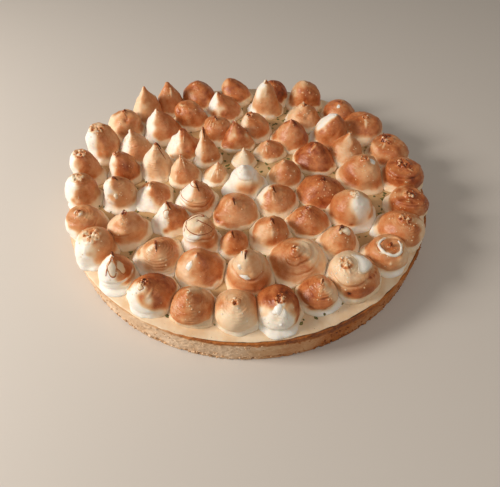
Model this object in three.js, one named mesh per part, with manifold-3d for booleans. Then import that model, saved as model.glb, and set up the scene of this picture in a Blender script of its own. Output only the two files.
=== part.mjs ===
// Lemon meringue pie: a straight-sided shortcrust shell, filled level with lemon cream and covered
// with rings of piped meringue drops. Millimetres, +Z up. The origin is the centre of the underside.
import * as THREE from "three";
import Module from "manifold-3d";
import { mergeVertices } from "three/addons/utils/BufferGeometryUtils.js";

const wasm = await Module();
wasm.setup();

// Shortcrust shell, baked in a plain tart ring.
const SHELL_RADIUS = 120;
const SHELL_HEIGHT = 20;
const SHELL_STRETCH = 1.0125; // the ring has gone slightly oval, wider along X
const SHELL_SIDES = 120;
const BASE_THICKNESS = 4;
const WALL_THICKNESS = 3;
const RIM_THICKNESS = 1.6; // the wall thins towards the rim, on the inside
const RIM_ROUNDING = 0.5;
const RIM_DEPTH = 5; // how far down the wall reaches its full thickness
const FOOT_ROUNDING = 1.4; // how far the flat underside stops short of the side
const CRAG_HEIGHTS = [1.1, 3.4, 7.5, 12.5, 17]; // rows of crags up the sandy side
const CRAG_DEPTH = 0.5;
const RIM_DIP = 0.4; // deepest dip in the rim
const TOUCH = 0.01; // places nearer than this are the same

// Lemon cream, level with the rim.
const FIT_GAP = 0.3; // between pieces that touch
const CREAM_TOP = 20.5;
const CREAM_SIDES = 96;
const CREAM_SHOULDER = 5; // width of the cream's rounded edge
const CREAM_EDGE_DIP = 0.7; // how much lower the cream meets the shell

// Meringue drops.
const DROP_SIDES = 12;
const DROP_BASE = CREAM_TOP + FIT_GAP;
const DROP_LIMIT = SHELL_RADIUS * SHELL_STRETCH; // the outer drops overhang the rim, but only this far
const SET_OVERLAP = 0.9; // how far drops that set as one run into each other
const OUT_OF_ROUND = 0.035; // unevenness of a drop's outline
const TIP_SWAY = 1.5; // how far a tip wanders along Y
const WALL_REACH = 1.3; // a wall further out than this share of a drop's half width doesn't touch it

// A drop's outline from its spreading foot to just under its tip: shares of its height and half its width.
const OUTLINES = {
  dome: [[0, 1.12], [0.1, 1], [0.27, 0.97], [0.52, 0.86], [0.74, 0.63], [0.91, 0.33]],
  cone: [[0, 1.12], [0.1, 1], [0.25, 0.93], [0.45, 0.75], [0.68, 0.46], [0.88, 0.19]],
  mound: [[0, 1.12], [0.12, 1], [0.28, 0.93], [0.48, 0.74], [0.68, 0.47], [0.86, 0.2]],
  peak: [[0, 1.12], [0.1, 1], [0.24, 0.91], [0.42, 0.7], [0.62, 0.42], [0.83, 0.17]],
  bullet: [[0, 1.12], [0.09, 1], [0.24, 0.9], [0.42, 0.74], [0.64, 0.57], [0.86, 0.33]],
  flat: [[0, 1.12], [0.1, 1], [0.28, 0.97], [0.55, 0.89], [0.8, 0.7], [0.95, 0.45]],
};

// The piping plan, ring by ring from the outside in, each counter-clockwise from +X. A drop is given by
// [bearing in degrees, distance from the centre, width, height, lean of the tip along X, outline].
const PIPING_PLAN = {
  outer: [
    [1, 108, 28, 15, -3, "flat"],
    [15, 108, 28, 13, -4, "flat"],
    [32, 106, 31, 14, 0, "dome"],
    [44.8, 106, 26, 15, -3, "dome"],
    [63, 107, 27, 20, -2, "dome"],
    [78, 105, 25, 15, 0, "dome"],
    [95, 105, 24, 16, -5, "dome"],
    [112, 106, 28, 17.5, 0, "dome"],
    [125, 109, 24, 24, 0, "cone"],
    [136, 111, 24, 28, 2, "cone"],
    [149, 110, 26, 20, 3, "dome"],
    [163, 109, 23, 22, -1, "flat"],
    [176, 112, 20, 21, 0, "flat"],
    [188, 110, 22, 21.5, 2, "flat"],
    [201.5, 109, 24, 16, -1, "flat"],
    [213, 109, 25, 16.5, 2, "flat"],
    [226, 108, 21, 23, 3, "cone"],
    [240, 105.5, 26, 15, -2, "dome"],
    [253, 103, 25, 19, 0, "cone"],
    [267, 102, 25, 16, -1, "dome"],
    [279, 101.5, 26, 16, 1, "dome"],
    [293, 99.5, 23, 15, 1, "mound"],
    [307, 101, 30, 16, -8, "dome"],
    [321.5, 105, 24, 14, 0, "flat"],
    [334, 106, 28, 15.5, -1, "dome"],
    [347, 108, 26, 13.5, -2, "flat"],
  ],
  second: [
    [3, 80, 28, 17, -1, "dome"],
    [21, 77, 25, 19, 1, "cone"],
    [36.6, 78.5, 26, 21, 1, "dome"],
    [57, 84, 28, 16, -2, "cone"],
    [80, 87, 25, 25, 0, "bullet"],
    [103, 85, 27, 18, -4, "cone"],
    [122, 84, 24, 17, -2, "flat"],
    [139, 86, 28, 22, -2, "cone"],
    [159, 87, 24, 21, -1, "cone"],
    [174, 86, 21, 19, -3, "dome"],
    [190, 86, 22, 21, 0, "dome"],
    [210.8, 86.8, 25, 20, 2, "mound"],
    [231, 83, 27, 15, 0, "mound"],
    [249, 78, 26, 16, 0, "cone"],
    [271, 78, 27, 27, -2, "bullet"],
    [293, 75, 33, 15, -2, "mound"],
    [315, 78, 22, 17, 0, "cone"],
    [335.5, 73.6, 27, 20, -1, "dome"],
  ],
  third: [
    [24, 54, 28, 16, -1, "cone"],
    [54, 57, 27, 20, -1, "cone"],
    [84, 57, 23, 15, -4, "dome"],
    [113, 58, 23, 17, -1, "dome"],
    [143, 58, 24, 19, 0, "cone"],
    [168, 65, 23, 23, 2, "cone"],
    [193, 64, 23, 14, 0, "cone"],
    [217, 60, 22, 18.5, -1, "cone"],
    [242, 60, 21, 20, 0, "flat"],
    [262, 57, 17, 17, -1, "cone"],
    [286, 51, 25, 18, 0, "cone"],
    [316, 54, 24, 14, -1, "cone"],
    [348, 51, 29, 15, 0, "mound"],
  ],
  fourth: [
    [8, 27, 23, 16, -2, "mound"],
    [62, 36, 20, 12, -2, "cone"],
    [100, 44, 23, 20, -1, "peak"],
    [139, 38, 18, 28, -1, "peak"],
    [172, 44, 21, 20, -1, "peak"],
    [210, 38, 25, 20, 0, "mound"],
    [256, 29, 27, 14, -2, "mound"],
    [315, 27, 26, 14, -3, "mound"],
  ],
  centre: [
    [264, 5, 25, 21, -2, "cone"],
    [166, 22.5, 16, 13, 2, "cone"],
    [96, 22, 16, 12, 0, "peak"],
  ],
};

// Drops piped so close that they set as one piece, named by ring and place in the ring.
const SET_AS_ONE = [
  ["outer_03", "outer_04"],
  ["outer_05", "second_04"],
  ["outer_06", "second_05"],
  ["outer_09", "outer_10"],
  ["outer_25", "outer_26"],
  ["second_02", "second_03"],
  ["second_14", "third_09"],
  ["second_16", "third_11"],
  ["second_18", "third_13"],
  ["third_04", "fourth_03"],
];

// Colours, and how shiny each piece is.
const PASTRY_COLOUR = 0xd9b384;
const CREAM_COLOUR = 0xeed9a6;
const PALE_MERINGUE = new THREE.Color(0xf3e6d6);
const TOASTED_MERINGUE = new THREE.Color(0xc27c4e);
const TOAST_IN_MIDDLE = 0.7; // share of the toasted colour in the middle of the pie
const TOAST_TOWARDS_X = 0.3; // how much larger it is at the rim on the +X side
const PASTRY_ROUGHNESS = 0.9;
const CREAM_ROUGHNESS = 0.45;
const MERINGUE_ROUGHNESS = 0.5;

function material(color, roughness) {
  return new THREE.MeshStandardMaterial({ color, roughness, metalness: 0 });
}

function namedMesh(name, geometry, surface) {
  const mesh = new THREE.Mesh(geometry, surface);
  mesh.name = name;
  return mesh;
}

// A repeatable number from -1 to 1 for a pair of numbers.
function crumb(i, j) {
  const mixed = Math.sin(i * 127.1 + j * 311.7) * 43758.5453;
  return 2 * (mixed - Math.floor(mixed)) - 1;
}

// A closed geometry with one vertex wherever several met, and with no collapsed triangles.
function welded(geometry) {
  const bare = new THREE.BufferGeometry();
  bare.setAttribute("position", geometry.getAttribute("position"));
  bare.setIndex(geometry.index);
  const merged = mergeVertices(bare);
  const corners = Array.from(merged.index.array);
  const kept = [];
  for (let i = 0; i < corners.length; i += 3) {
    const triangle = corners.slice(i, i + 3);
    if (new Set(triangle).size === 3) kept.push(...triangle);
  }
  merged.setIndex(kept);
  return merged;
}

// A solid turned round Z from a profile of [radius, height] pairs that starts and ends on the axis.
function turned(profile, sides, firstBearing = 0) {
  const points = profile.map(([radius, height]) => new THREE.Vector2(radius, height));
  return welded(new THREE.LatheGeometry(points, sides, firstBearing).rotateX(Math.PI / 2));
}

// Moves each vertex to the place that newPlace gives for it.
function reshaped(geometry, newPlace) {
  const places = geometry.getAttribute("position");
  const vertex = new THREE.Vector3();
  for (let i = 0; i < places.count; i++) {
    const { x, y, z } = newPlace(vertex.fromBufferAttribute(places, i));
    places.setXYZ(i, x, y, z);
  }
  geometry.computeVertexNormals();
  return geometry;
}

// The shell: flat underside, sandy side with crags, uneven rim, and a smooth inside that holds the cream.
function shellGeometry() {
  const inner = SHELL_RADIUS - WALL_THICKNESS;
  const profile = [
    [0, 0],
    [SHELL_RADIUS - FOOT_ROUNDING, 0],
    ...CRAG_HEIGHTS.map((height) => [SHELL_RADIUS, height]),
    [SHELL_RADIUS - RIM_ROUNDING * 0.3, SHELL_HEIGHT - RIM_ROUNDING],
    [SHELL_RADIUS - RIM_ROUNDING, SHELL_HEIGHT],
    [SHELL_RADIUS - RIM_THICKNESS, SHELL_HEIGHT],
    [inner, SHELL_HEIGHT - RIM_DEPTH],
    [inner, BASE_THICKNESS],
    [0, BASE_THICKNESS],
  ];
  const crumbly = (vertex) => {
    const radius = Math.hypot(vertex.x, vertex.y);
    const side = Math.round((Math.atan2(vertex.y, vertex.x) * SHELL_SIDES) / (2 * Math.PI));
    const row = CRAG_HEIGHTS.findIndex((height) => Math.abs(height - vertex.z) < TOUCH);
    const onSide = row >= 0 && radius > SHELL_RADIUS - TOUCH;
    const crag = onSide ? CRAG_DEPTH * 0.5 * (1 - crumb(side, row)) : 0;
    const dip = vertex.z > SHELL_HEIGHT - TOUCH ? RIM_DIP * 0.5 * (1 - crumb(side, CRAG_HEIGHTS.length)) : 0;
    const inward = radius > 0 ? (radius - crag) / radius : 1;
    return new THREE.Vector3(vertex.x * inward, vertex.y * inward, vertex.z - dip);
  };
  return reshaped(turned(profile, SHELL_SIDES), crumbly).scale(SHELL_STRETCH, 1, 1);
}

// The lemon cream: it fills the shell, flat on top, and rounds off where it meets the rim.
function creamGeometry() {
  const foot = BASE_THICKNESS + FIT_GAP;
  const inside = SHELL_RADIUS - WALL_THICKNESS - FIT_GAP;
  const edge = SHELL_RADIUS - RIM_THICKNESS - 2 * FIT_GAP;
  const profile = [
    [0, foot],
    [inside, foot],
    [inside, SHELL_HEIGHT - RIM_DEPTH],
    [edge, CREAM_TOP - CREAM_EDGE_DIP],
    [edge - CREAM_SHOULDER * 0.3, CREAM_TOP - CREAM_EDGE_DIP * 0.3],
    [edge - CREAM_SHOULDER, CREAM_TOP],
    [0, CREAM_TOP],
  ];
  return turned(profile, CREAM_SIDES).scale(SHELL_STRETCH, 1, 1);
}

// Every drop of the plan, with its centre, sizes and name.
function pipedDrops() {
  return Object.entries(PIPING_PLAN).flatMap(([ring, rows]) =>
    rows.map(([bearing, distance, width, height, lean, outline], place) => {
      const angle = THREE.MathUtils.degToRad(bearing);
      return {
        name: `${ring}_${String(place + 1).padStart(2, "0")}`,
        ring,
        bearing: angle,
        centre: new THREE.Vector2(distance, 0).rotateAround(new THREE.Vector2(), angle),
        radius: width / 2,
        height,
        lean: new THREE.Vector2(lean, TIP_SWAY * Math.sin(5 * angle)),
        outline: OUTLINES[outline],
      };
    }),
  );
}

// The upright walls where a drop is pressed by its neighbours: a direction, and how far it reaches there.
function pressedWalls(drop, drops) {
  const partners = SET_AS_ONE.filter((pair) => pair.includes(drop.name)).flat();
  return drops
    .filter((other) => other !== drop)
    .map((other) => {
      const across = other.centre.clone().sub(drop.centre);
      const share = drop.radius / (drop.radius + other.radius);
      const room = partners.includes(other.name) ? SET_OVERLAP : -FIT_GAP / 2;
      return { reach: across.length() * share + room, direction: across.normalize() };
    })
    .filter((wall) => wall.reach < WALL_REACH * drop.radius);
}

// A drop round its own centre: turned from its outline, leaning towards the tip and flattened by its walls.
function dropGeometry(drop, walls) {
  const profile = [
    [0, 0],
    ...drop.outline.map(([share, width]) => [drop.radius * width, drop.height * share]),
    [0, drop.height],
  ];
  const piped = (vertex) => {
    const angle = Math.atan2(vertex.y, vertex.x);
    const wobble = Math.sin(2 * angle + 8 * drop.bearing) + Math.sin(3 * angle - 3 * drop.bearing);
    const axis = drop.lean.clone().multiplyScalar((vertex.z / drop.height) ** 2);
    const outward = new THREE.Vector2(Math.cos(angle), Math.sin(angle));
    let reach = Math.hypot(vertex.x, vertex.y) * (1 + OUT_OF_ROUND * wobble);
    for (const { direction, reach: limit } of walls) {
      const slope = outward.dot(direction);
      if (slope > 0) reach = Math.min(reach, (limit - axis.dot(direction)) / slope);
    }
    const place = axis.addScaledVector(outward, reach).add(drop.centre);
    place.clampLength(0, DROP_LIMIT).sub(drop.centre);
    return new THREE.Vector3(place.x, place.y, vertex.z);
  };
  return reshaped(turned(profile, DROP_SIDES, drop.bearing), piped);
}

function toSolid(geometry) {
  const vertProperties = geometry.getAttribute("position").array;
  const triVerts = new Uint32Array(geometry.index.array);
  return new wasm.Manifold(new wasm.Mesh({ numProp: 3, vertProperties, triVerts }));
}

function toGeometry(solid) {
  const mesh = solid.getMesh();
  const geometry = new THREE.BufferGeometry();
  geometry.setAttribute("position", new THREE.Float32BufferAttribute(mesh.vertProperties, 3));
  geometry.setIndex(Array.from(mesh.triVerts));
  geometry.computeVertexNormals();
  return geometry;
}

// A drop's mesh, with its partner joined on where two set as one. Drops are browner towards +X.
function dropMesh(drop, drops) {
  const pair = SET_AS_ONE.find(([kept]) => kept === drop.name);
  let geometry = dropGeometry(drop, pressedWalls(drop, drops));
  if (pair) {
    const partner = drops.find((other) => other.name === pair[1]);
    const offset = partner.centre.clone().sub(drop.centre);
    const joined = dropGeometry(partner, pressedWalls(partner, drops)).translate(offset.x, offset.y, 0);
    geometry = toGeometry(toSolid(geometry).add(toSolid(joined)));
  }
  const toast = TOAST_IN_MIDDLE + (TOAST_TOWARDS_X * drop.centre.x) / SHELL_RADIUS;
  const colour = PALE_MERINGUE.clone().lerp(TOASTED_MERINGUE, toast);
  const mesh = namedMesh(`drop_${drop.name}`, geometry, material(colour, MERINGUE_ROUGHNESS));
  mesh.position.set(drop.centre.x, drop.centre.y, 0);
  return mesh;
}

// The topping: one group for each ring of drops, all standing on the cream.
function topping() {
  const drops = pipedDrops();
  const joinedOn = SET_AS_ONE.map(([, joined]) => joined);
  const group = new THREE.Group();
  for (const ring of Object.keys(PIPING_PLAN)) {
    const ringGroup = new THREE.Group();
    const shown = drops.filter((drop) => drop.ring === ring && !joinedOn.includes(drop.name));
    ringGroup.add(...shown.map((drop) => dropMesh(drop, drops)));
    group.add(ringGroup);
  }
  group.position.z = DROP_BASE;
  return group;
}

const pie = new THREE.Group();
pie.add(namedMesh("shell", shellGeometry(), material(PASTRY_COLOUR, PASTRY_ROUGHNESS)));
pie.add(namedMesh("cream", creamGeometry(), material(CREAM_COLOUR, CREAM_ROUGHNESS)));
pie.add(topping());

export default pie;
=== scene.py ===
"""A lemon meringue pie: a sandy shortcrust shell, lemon cream, and rings of piped, toasted meringue drops.

Sizes are in millimetres until a mesh is made. Bearings are in degrees, counter-clockwise from +X.
"""

import itertools
import logging
import math
from dataclasses import dataclass, field
from enum import Enum
from typing import Iterable, Sequence

import bmesh
import bpy
import numpy as np
from mathutils import Matrix, Vector
from mathutils.bvhtree import BVHTree


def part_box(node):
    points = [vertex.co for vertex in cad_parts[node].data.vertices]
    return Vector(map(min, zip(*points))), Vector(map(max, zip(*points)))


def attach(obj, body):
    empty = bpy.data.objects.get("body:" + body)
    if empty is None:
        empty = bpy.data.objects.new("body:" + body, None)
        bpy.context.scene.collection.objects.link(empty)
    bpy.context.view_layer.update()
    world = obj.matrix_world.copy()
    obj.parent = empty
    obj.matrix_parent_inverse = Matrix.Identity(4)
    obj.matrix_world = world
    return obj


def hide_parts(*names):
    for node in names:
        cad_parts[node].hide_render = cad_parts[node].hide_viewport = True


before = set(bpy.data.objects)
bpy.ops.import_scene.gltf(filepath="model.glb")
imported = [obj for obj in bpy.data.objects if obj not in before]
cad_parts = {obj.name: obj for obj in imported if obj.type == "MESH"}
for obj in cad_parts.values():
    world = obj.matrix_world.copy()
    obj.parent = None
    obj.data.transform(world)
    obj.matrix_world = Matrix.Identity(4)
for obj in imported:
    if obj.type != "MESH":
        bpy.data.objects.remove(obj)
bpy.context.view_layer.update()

log = logging.getLogger("pie")

MM = 0.001
BODY = "root"
CURVE_STEPS = 2400  # how finely a smooth curve is measured

Colour = tuple[float, float, float, float]
Pair = tuple[float, float]
Rows = tuple[tuple[float, ...], ...]
Layer = tuple[float, float, int]  # depth and pitch in millimetres, and number, of a layer of relief
Spots = tuple[float, float, float, int]  # two levels, pitch in millimetres, and number, of random patches


# ---------------- numbers


def smoothstep(low: float, high: float, value: np.ndarray) -> np.ndarray:
    """A soft step.

    Args:
        low: Where the step starts, at 0. It may be above `high`.
        high: Where the step ends, at 1.
        value: The numbers to step.

    Returns:
        Numbers from 0 to 1.
    """
    share = np.clip((value - low) / (high - low), 0.0, 1.0)
    return share * share * (3.0 - 2.0 * share)


def bell(value: np.ndarray, width: float) -> np.ndarray:
    """A smooth bump of height 1 at 0, `width` wide each way."""
    return np.exp(-((value / width) ** 2))


def turned_by(angle: np.ndarray, bearing: float) -> np.ndarray:
    """How far each angle is from a bearing.

    Args:
        angle: Angles in radians.
        bearing: The bearing in degrees.

    Returns:
        Differences in radians, from -pi to pi.
    """
    return (angle - math.radians(bearing) + math.pi) % math.tau - math.pi


def norms(vectors: np.ndarray) -> np.ndarray:
    """The length of each vector of an array."""
    return np.linalg.norm(vectors, axis=-1)


def heading(angle: float | np.ndarray) -> np.ndarray:
    """The level direction at each angle in radians, as XY."""
    return np.stack([np.cos(angle), np.sin(angle)], axis=-1)


def turns(count: int) -> np.ndarray:
    """Even angles round a full turn, in radians."""
    return np.arange(count) * (math.tau / count)


def grain(points: np.ndarray, pitch: float, seed: int) -> np.ndarray:
    """Smooth random relief in space.

    Args:
        points: Places in millimetres, of shape (..., 3).
        pitch: Distance between bumps, in millimetres.
        seed: Picks the pattern.

    Returns:
        One number from -1 to 1 for each place.
    """
    spots = points / pitch + seed * 7.31
    cell = np.floor(spots).astype(np.int64)
    part = spots - cell
    blend = part * part * (3.0 - 2.0 * part)
    total = np.zeros(points.shape[:-1])
    for corner in itertools.product((0, 1), repeat=3):
        x, y, z = np.moveaxis(cell + np.array(corner), -1, 0)
        mixed = (x * 73856093) ^ (y * 19349663) ^ (z * 83492791) ^ (seed * 2654435761)
        mixed = ((mixed ^ (mixed >> 13)) * 1274126177) & 0x7FFFFFFF
        value = ((mixed ^ (mixed >> 11)) & 0xFFFF) / 32767.5 - 1.0
        total += value * np.prod(np.where(np.array(corner) == 1, blend, 1.0 - blend), axis=-1)
    return total


def layered(points: np.ndarray, layers: Iterable[Layer], seed: int = 0) -> np.ndarray:
    """Several layers of random relief at once.

    Args:
        points: Places in millimetres.
        layers: The layers.
        seed: Added to each layer's number, to pick its pattern.

    Returns:
        Their sum at each place.
    """
    return sum(depth * grain(points, pitch, seed + number) for depth, pitch, number in layers)


def smooth_path(guides: np.ndarray, shares: np.ndarray) -> tuple[np.ndarray, float]:
    """Points on a smooth curve.

    Args:
        guides: Points that it passes through, one in each row. The first and the last only steer its ends.
        shares: How far along each point is, from 0 at the second guide to 1 at the last but one.

    Returns:
        The points, and the curve's length.
    """
    knots = np.concatenate([[0.0], np.cumsum(np.sqrt(norms(np.diff(guides, axis=0))))])
    slopes = np.gradient(guides, knots, axis=0)
    dense = np.linspace(knots[1], knots[-2], CURVE_STEPS)
    left = np.clip(np.searchsorted(knots, dense, side="right") - 1, 1, len(knots) - 3)
    span = (knots[left + 1] - knots[left])[:, None]
    t = (dense - knots[left])[:, None] / span
    curve = (
        (2 * t**3 - 3 * t**2 + 1) * guides[left]
        + (t**3 - 2 * t**2 + t) * span * slopes[left]
        + (3 * t**2 - 2 * t**3) * guides[left + 1]
        + (t**3 - t**2) * span * slopes[left + 1]
    )
    run = np.concatenate([[0.0], np.cumsum(norms(np.diff(curve, axis=0)))])
    places = shares * run[-1]
    return np.stack([np.interp(places, run, column) for column in curve.T], axis=-1), float(run[-1])


# ---------------- meshes


@dataclass
class Patch:
    """A closed surface as arrays: its places in millimetres, its faces, and numbers painted on its points."""

    points: np.ndarray
    faces: list[tuple[int, ...]]
    paint: dict[str, np.ndarray] = field(default_factory=dict)


def joined(patches: Sequence[Patch]) -> Patch:
    """Several patches as one.

    Args:
        patches: Patches that are all painted with the same names.

    Returns:
        One patch that holds them all.
    """
    faces: list[tuple[int, ...]] = []
    start = 0
    for patch in patches:
        faces.extend(tuple(corner + start for corner in face) for face in patch.faces)
        start += len(patch.points)
    paint = {name: np.concatenate([patch.paint[name] for patch in patches]) for name in patches[0].paint}
    return Patch(np.concatenate([patch.points for patch in patches]), faces, paint)


def round_faces(rings: int, sides: int) -> list[tuple[int, ...]]:
    """The faces of a closed turned surface.

    Args:
        rings: How many rings of points it has.
        sides: How many points each ring has. Two more points, at the bottom and at the top, follow the rings.

    Returns:
        Four-sided faces between the rings, and three-sided ones at both ends.
    """
    bottom, top = rings * sides, rings * sides + 1
    faces: list[tuple[int, ...]] = []
    for side in range(sides):
        after = (side + 1) % sides
        for ring in range(rings - 1):
            low, high = ring * sides, (ring + 1) * sides
            faces.append((low + side, low + after, high + after, high + side))
        last = (rings - 1) * sides
        faces.append((bottom, after, side))
        faces.append((top, last + side, last + after))
    return faces


def turned(profile: np.ndarray, sides: int) -> np.ndarray:
    """A profile turned round the upright axis.

    Args:
        profile: Rows of radius and height.
        sides: How many points each ring has.

    Returns:
        Places of shape (rows, sides, 3).
    """
    places = np.empty((len(profile), sides, 3))
    places[..., :2] = profile[:, 0][:, None, None] * heading(turns(sides))
    places[..., 2] = profile[:, 1][:, None]
    return places


def round_patch(
    places: np.ndarray, bottom: Sequence[float], top: Sequence[float], paint: dict[str, np.ndarray]
) -> Patch:
    """A closed turned surface from its rings.

    Args:
        places: Points of shape (rings, sides, 3), from the bottom up.
        bottom: The middle point of the lower end.
        top: The middle point of the upper end.
        paint: Numbers of shape (rings, sides) to paint on.

    Returns:
        The surface. Its two middle points take the mean paint of the ring beside them.
    """
    rings, sides, _ = places.shape
    points = np.concatenate([places.reshape(-1, 3), [bottom, top]])
    painted = {
        name: np.concatenate([values.ravel(), [values[0].mean(), values[-1].mean()]])
        for name, values in paint.items()
    }
    return Patch(points, round_faces(rings, sides), painted)


def small_ball(subdivisions: int) -> tuple[np.ndarray, list[tuple[int, ...]]]:
    """An even ball of radius 1.

    Args:
        subdivisions: How fine it is.

    Returns:
        Its points and its faces.
    """
    mesh = bmesh.new()
    bmesh.ops.create_icosphere(mesh, subdivisions=subdivisions, radius=1.0)
    points = np.array([vertex.co for vertex in mesh.verts])
    faces = [tuple(vertex.index for vertex in face.verts) for face in mesh.faces]
    mesh.free()
    return points, faces


def add_object(name: str, data: bpy.types.ID) -> bpy.types.Object:
    """Puts a mesh, a lamp or a camera in the scene.

    Args:
        name: The new object's name.
        data: What it shows.

    Returns:
        The object.
    """
    made = bpy.data.objects.new(name, data)
    bpy.context.scene.collection.objects.link(made)
    return made


def add_piece(
    name: str, patch: Patch, material: bpy.types.Material, replaced: Sequence[str] = ()
) -> None:
    """Puts a surface in the scene as a piece of the pie.

    Args:
        name: The piece's name.
        patch: Its surface.
        material: Its finish.
        replaced: The solids that it stands for.
    """
    mesh = bpy.data.meshes.new(name)
    mesh.from_pydata((patch.points * MM).tolist(), [], patch.faces)
    for label, values in patch.paint.items():
        layer = mesh.attributes.new(label, "FLOAT", "POINT")
        layer.data.foreach_set("value", values.astype(np.float32))
    mesh.shade_smooth()
    mesh.materials.append(material)
    mesh.update()
    piece = add_object(name, mesh)
    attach(piece, BODY)
    if replaced:
        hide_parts(*replaced)
    log.info("%s: %d points, %d faces", name, len(patch.points), len(patch.faces))


# ---------------- shader expressions


class Wire:
    """One socket of a finish. Arithmetic on it adds Math nodes."""

    def __init__(self, recipe: "Recipe", socket: bpy.types.NodeSocket) -> None:
        """Keeps the recipe that the socket belongs to."""
        self.recipe = recipe
        self.socket = socket

    def math(self, operation: str, *values: "Wire | float") -> "Wire":
        """One Math node on these values."""
        return self.recipe.add("ShaderNodeMath", {"operation": operation}, dict(enumerate(values)))

    def __add__(self, other: "Wire | float") -> "Wire":
        """Sum."""
        return self.math("ADD", self, other)

    def __sub__(self, other: "Wire | float") -> "Wire":
        """Difference."""
        return self.math("SUBTRACT", self, other)

    def __rsub__(self, other: "Wire | float") -> "Wire":
        """Difference from a number."""
        return self.math("SUBTRACT", other, self)

    def __mul__(self, other: "Wire | float") -> "Wire":
        """Product."""
        return self.math("MULTIPLY", self, other)

    __radd__ = __add__
    __rmul__ = __mul__

    def step(self, low: float, high: float) -> "Wire":
        """A soft step between two values.

        Args:
            low: Where it starts, at 0.
            high: Where it ends, at 1.

        Returns:
            The step.
        """
        settings = {"interpolation_type": "SMOOTHSTEP"}
        return self.recipe.add("ShaderNodeMapRange", settings, {0: self, 1: low, 2: high})


class Recipe:
    """The nodes of one finish, with its shader ready."""

    def __init__(self, name: str) -> None:
        """Makes an empty material with a shader and an output."""
        self.material = bpy.data.materials.new(name)
        self.material.use_nodes = True
        self.tree = self.material.node_tree
        self.tree.nodes.clear()
        self.shader = self.tree.nodes.new("ShaderNodeBsdfPrincipled")
        output = self.tree.nodes.new("ShaderNodeOutputMaterial")
        self.tree.links.new(self.shader.outputs[0], output.inputs["Surface"])

    def add(
        self,
        kind: str,
        settings: dict[str, object] | None = None,
        inputs: "dict[int | str, Wire | object] | None" = None,
        output: int | str = 0,
    ) -> Wire:
        """Adds one node.

        Args:
            kind: The node's type.
            settings: Its own settings, set first. `stops` holds a ramp's places and colours.
            inputs: What its sockets get: a wire, or a plain value.
            output: The socket to return.

        Returns:
            That output socket.
        """
        node = self.tree.nodes.new(kind)
        for name, value in (settings or {}).items():
            if name == "stops":
                self.set_stops(node.color_ramp, value)
            else:
                setattr(node, name, value)
        for key, value in (inputs or {}).items():
            self.feed(node.inputs[key], value)
        return Wire(self, node.outputs[output])

    def set_stops(self, ramp: bpy.types.ColorRamp, stops: Sequence[tuple[float, Colour]]) -> None:
        """Gives a ramp its stops.

        Args:
            ramp: The ramp, new and with two stops.
            stops: The place and the colour of each.
        """
        for place, _ in stops[2:]:
            ramp.elements.new(place)
        for element, (place, colour) in zip(ramp.elements, stops):
            element.position = place
            element.color = colour

    def feed(self, socket: bpy.types.NodeSocket, value: object) -> None:
        """Links a wire to a socket, or sets a plain value on it.

        Args:
            socket: The input.
            value: A wire, or what the socket itself holds.
        """
        if isinstance(value, Wire):
            self.tree.links.new(value.socket, socket)
        else:
            socket.default_value = value

    def set(self, **values: object) -> None:
        """Sets the shader's own sockets, whose names have underscores for spaces here."""
        for name, value in values.items():
            self.feed(self.shader.inputs[name.replace("_", " ")], value)

    def painted(self, name: str) -> Wire:
        """A number painted on the mesh."""
        return self.add("ShaderNodeAttribute", {"attribute_name": name}, output="Fac")

    def place(self) -> Wire:
        """The place on the piece, in metres."""
        return self.add("ShaderNodeTexCoord", output="Object")

    def noise(self, pitch: float, detail: float = 2.0, roughness: float = 0.5) -> Wire:
        """Soft noise.

        Args:
            pitch: Its size in millimetres.
            detail: How many finer layers it has.
            roughness: How strong they are.

        Returns:
            A number from 0 to 1.
        """
        inputs = {"Vector": self.place(), "Scale": 1.0 / (pitch * MM)}
        return self.add("ShaderNodeTexNoise", {}, inputs | {"Detail": detail, "Roughness": roughness})

    def cells(self, pitch: float) -> Wire:
        """Distances to the middles of random cells, `pitch` millimetres apart."""
        return self.add("ShaderNodeTexVoronoi", {}, {"Vector": self.place(), "Scale": 1.0 / (pitch * MM)})

    def blend(self, factor: "Wire | float", first: "Wire | Colour", second: "Wire | Colour") -> Wire:
        """A mix of two colours.

        Args:
            factor: 0 for the first, 1 for the second.
            first: A colour.
            second: Another one.

        Returns:
            The mix.
        """
        return self.add("ShaderNodeMix", {"data_type": "RGBA"}, {0: factor, 6: first, 7: second}, 2)

    def ramp(self, value: Wire, stops: Sequence[tuple[float, Colour]]) -> Wire:
        """A colour for each value."""
        return self.add("ShaderNodeValToRGB", {"stops": stops}, {0: value})

    def bump(self, height: Wire, depth: float, strength: float = 1.0) -> Wire:
        """A bumpy normal.

        Args:
            height: The relief, from 0 to 1.
            depth: Its depth in millimetres.
            strength: How much it shows.

        Returns:
            The normal.
        """
        inputs = {"Height": height, "Distance": depth * MM, "Strength": strength}
        return self.add("ShaderNodeBump", {}, inputs)


def srgb(red: int, green: int, blue: int) -> Colour:
    """A display colour as the shader's linear numbers.

    Args:
        red: 0 to 255.
        green: 0 to 255.
        blue: 0 to 255.

    Returns:
        The colour, opaque.
    """
    linear = [
        share / 12.92 if share <= 0.04045 else ((share + 0.055) / 1.055) ** 2.4
        for share in (red / 255, green / 255, blue / 255)
    ]
    return (*linear, 1.0)


# ---------------- finishes


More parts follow.
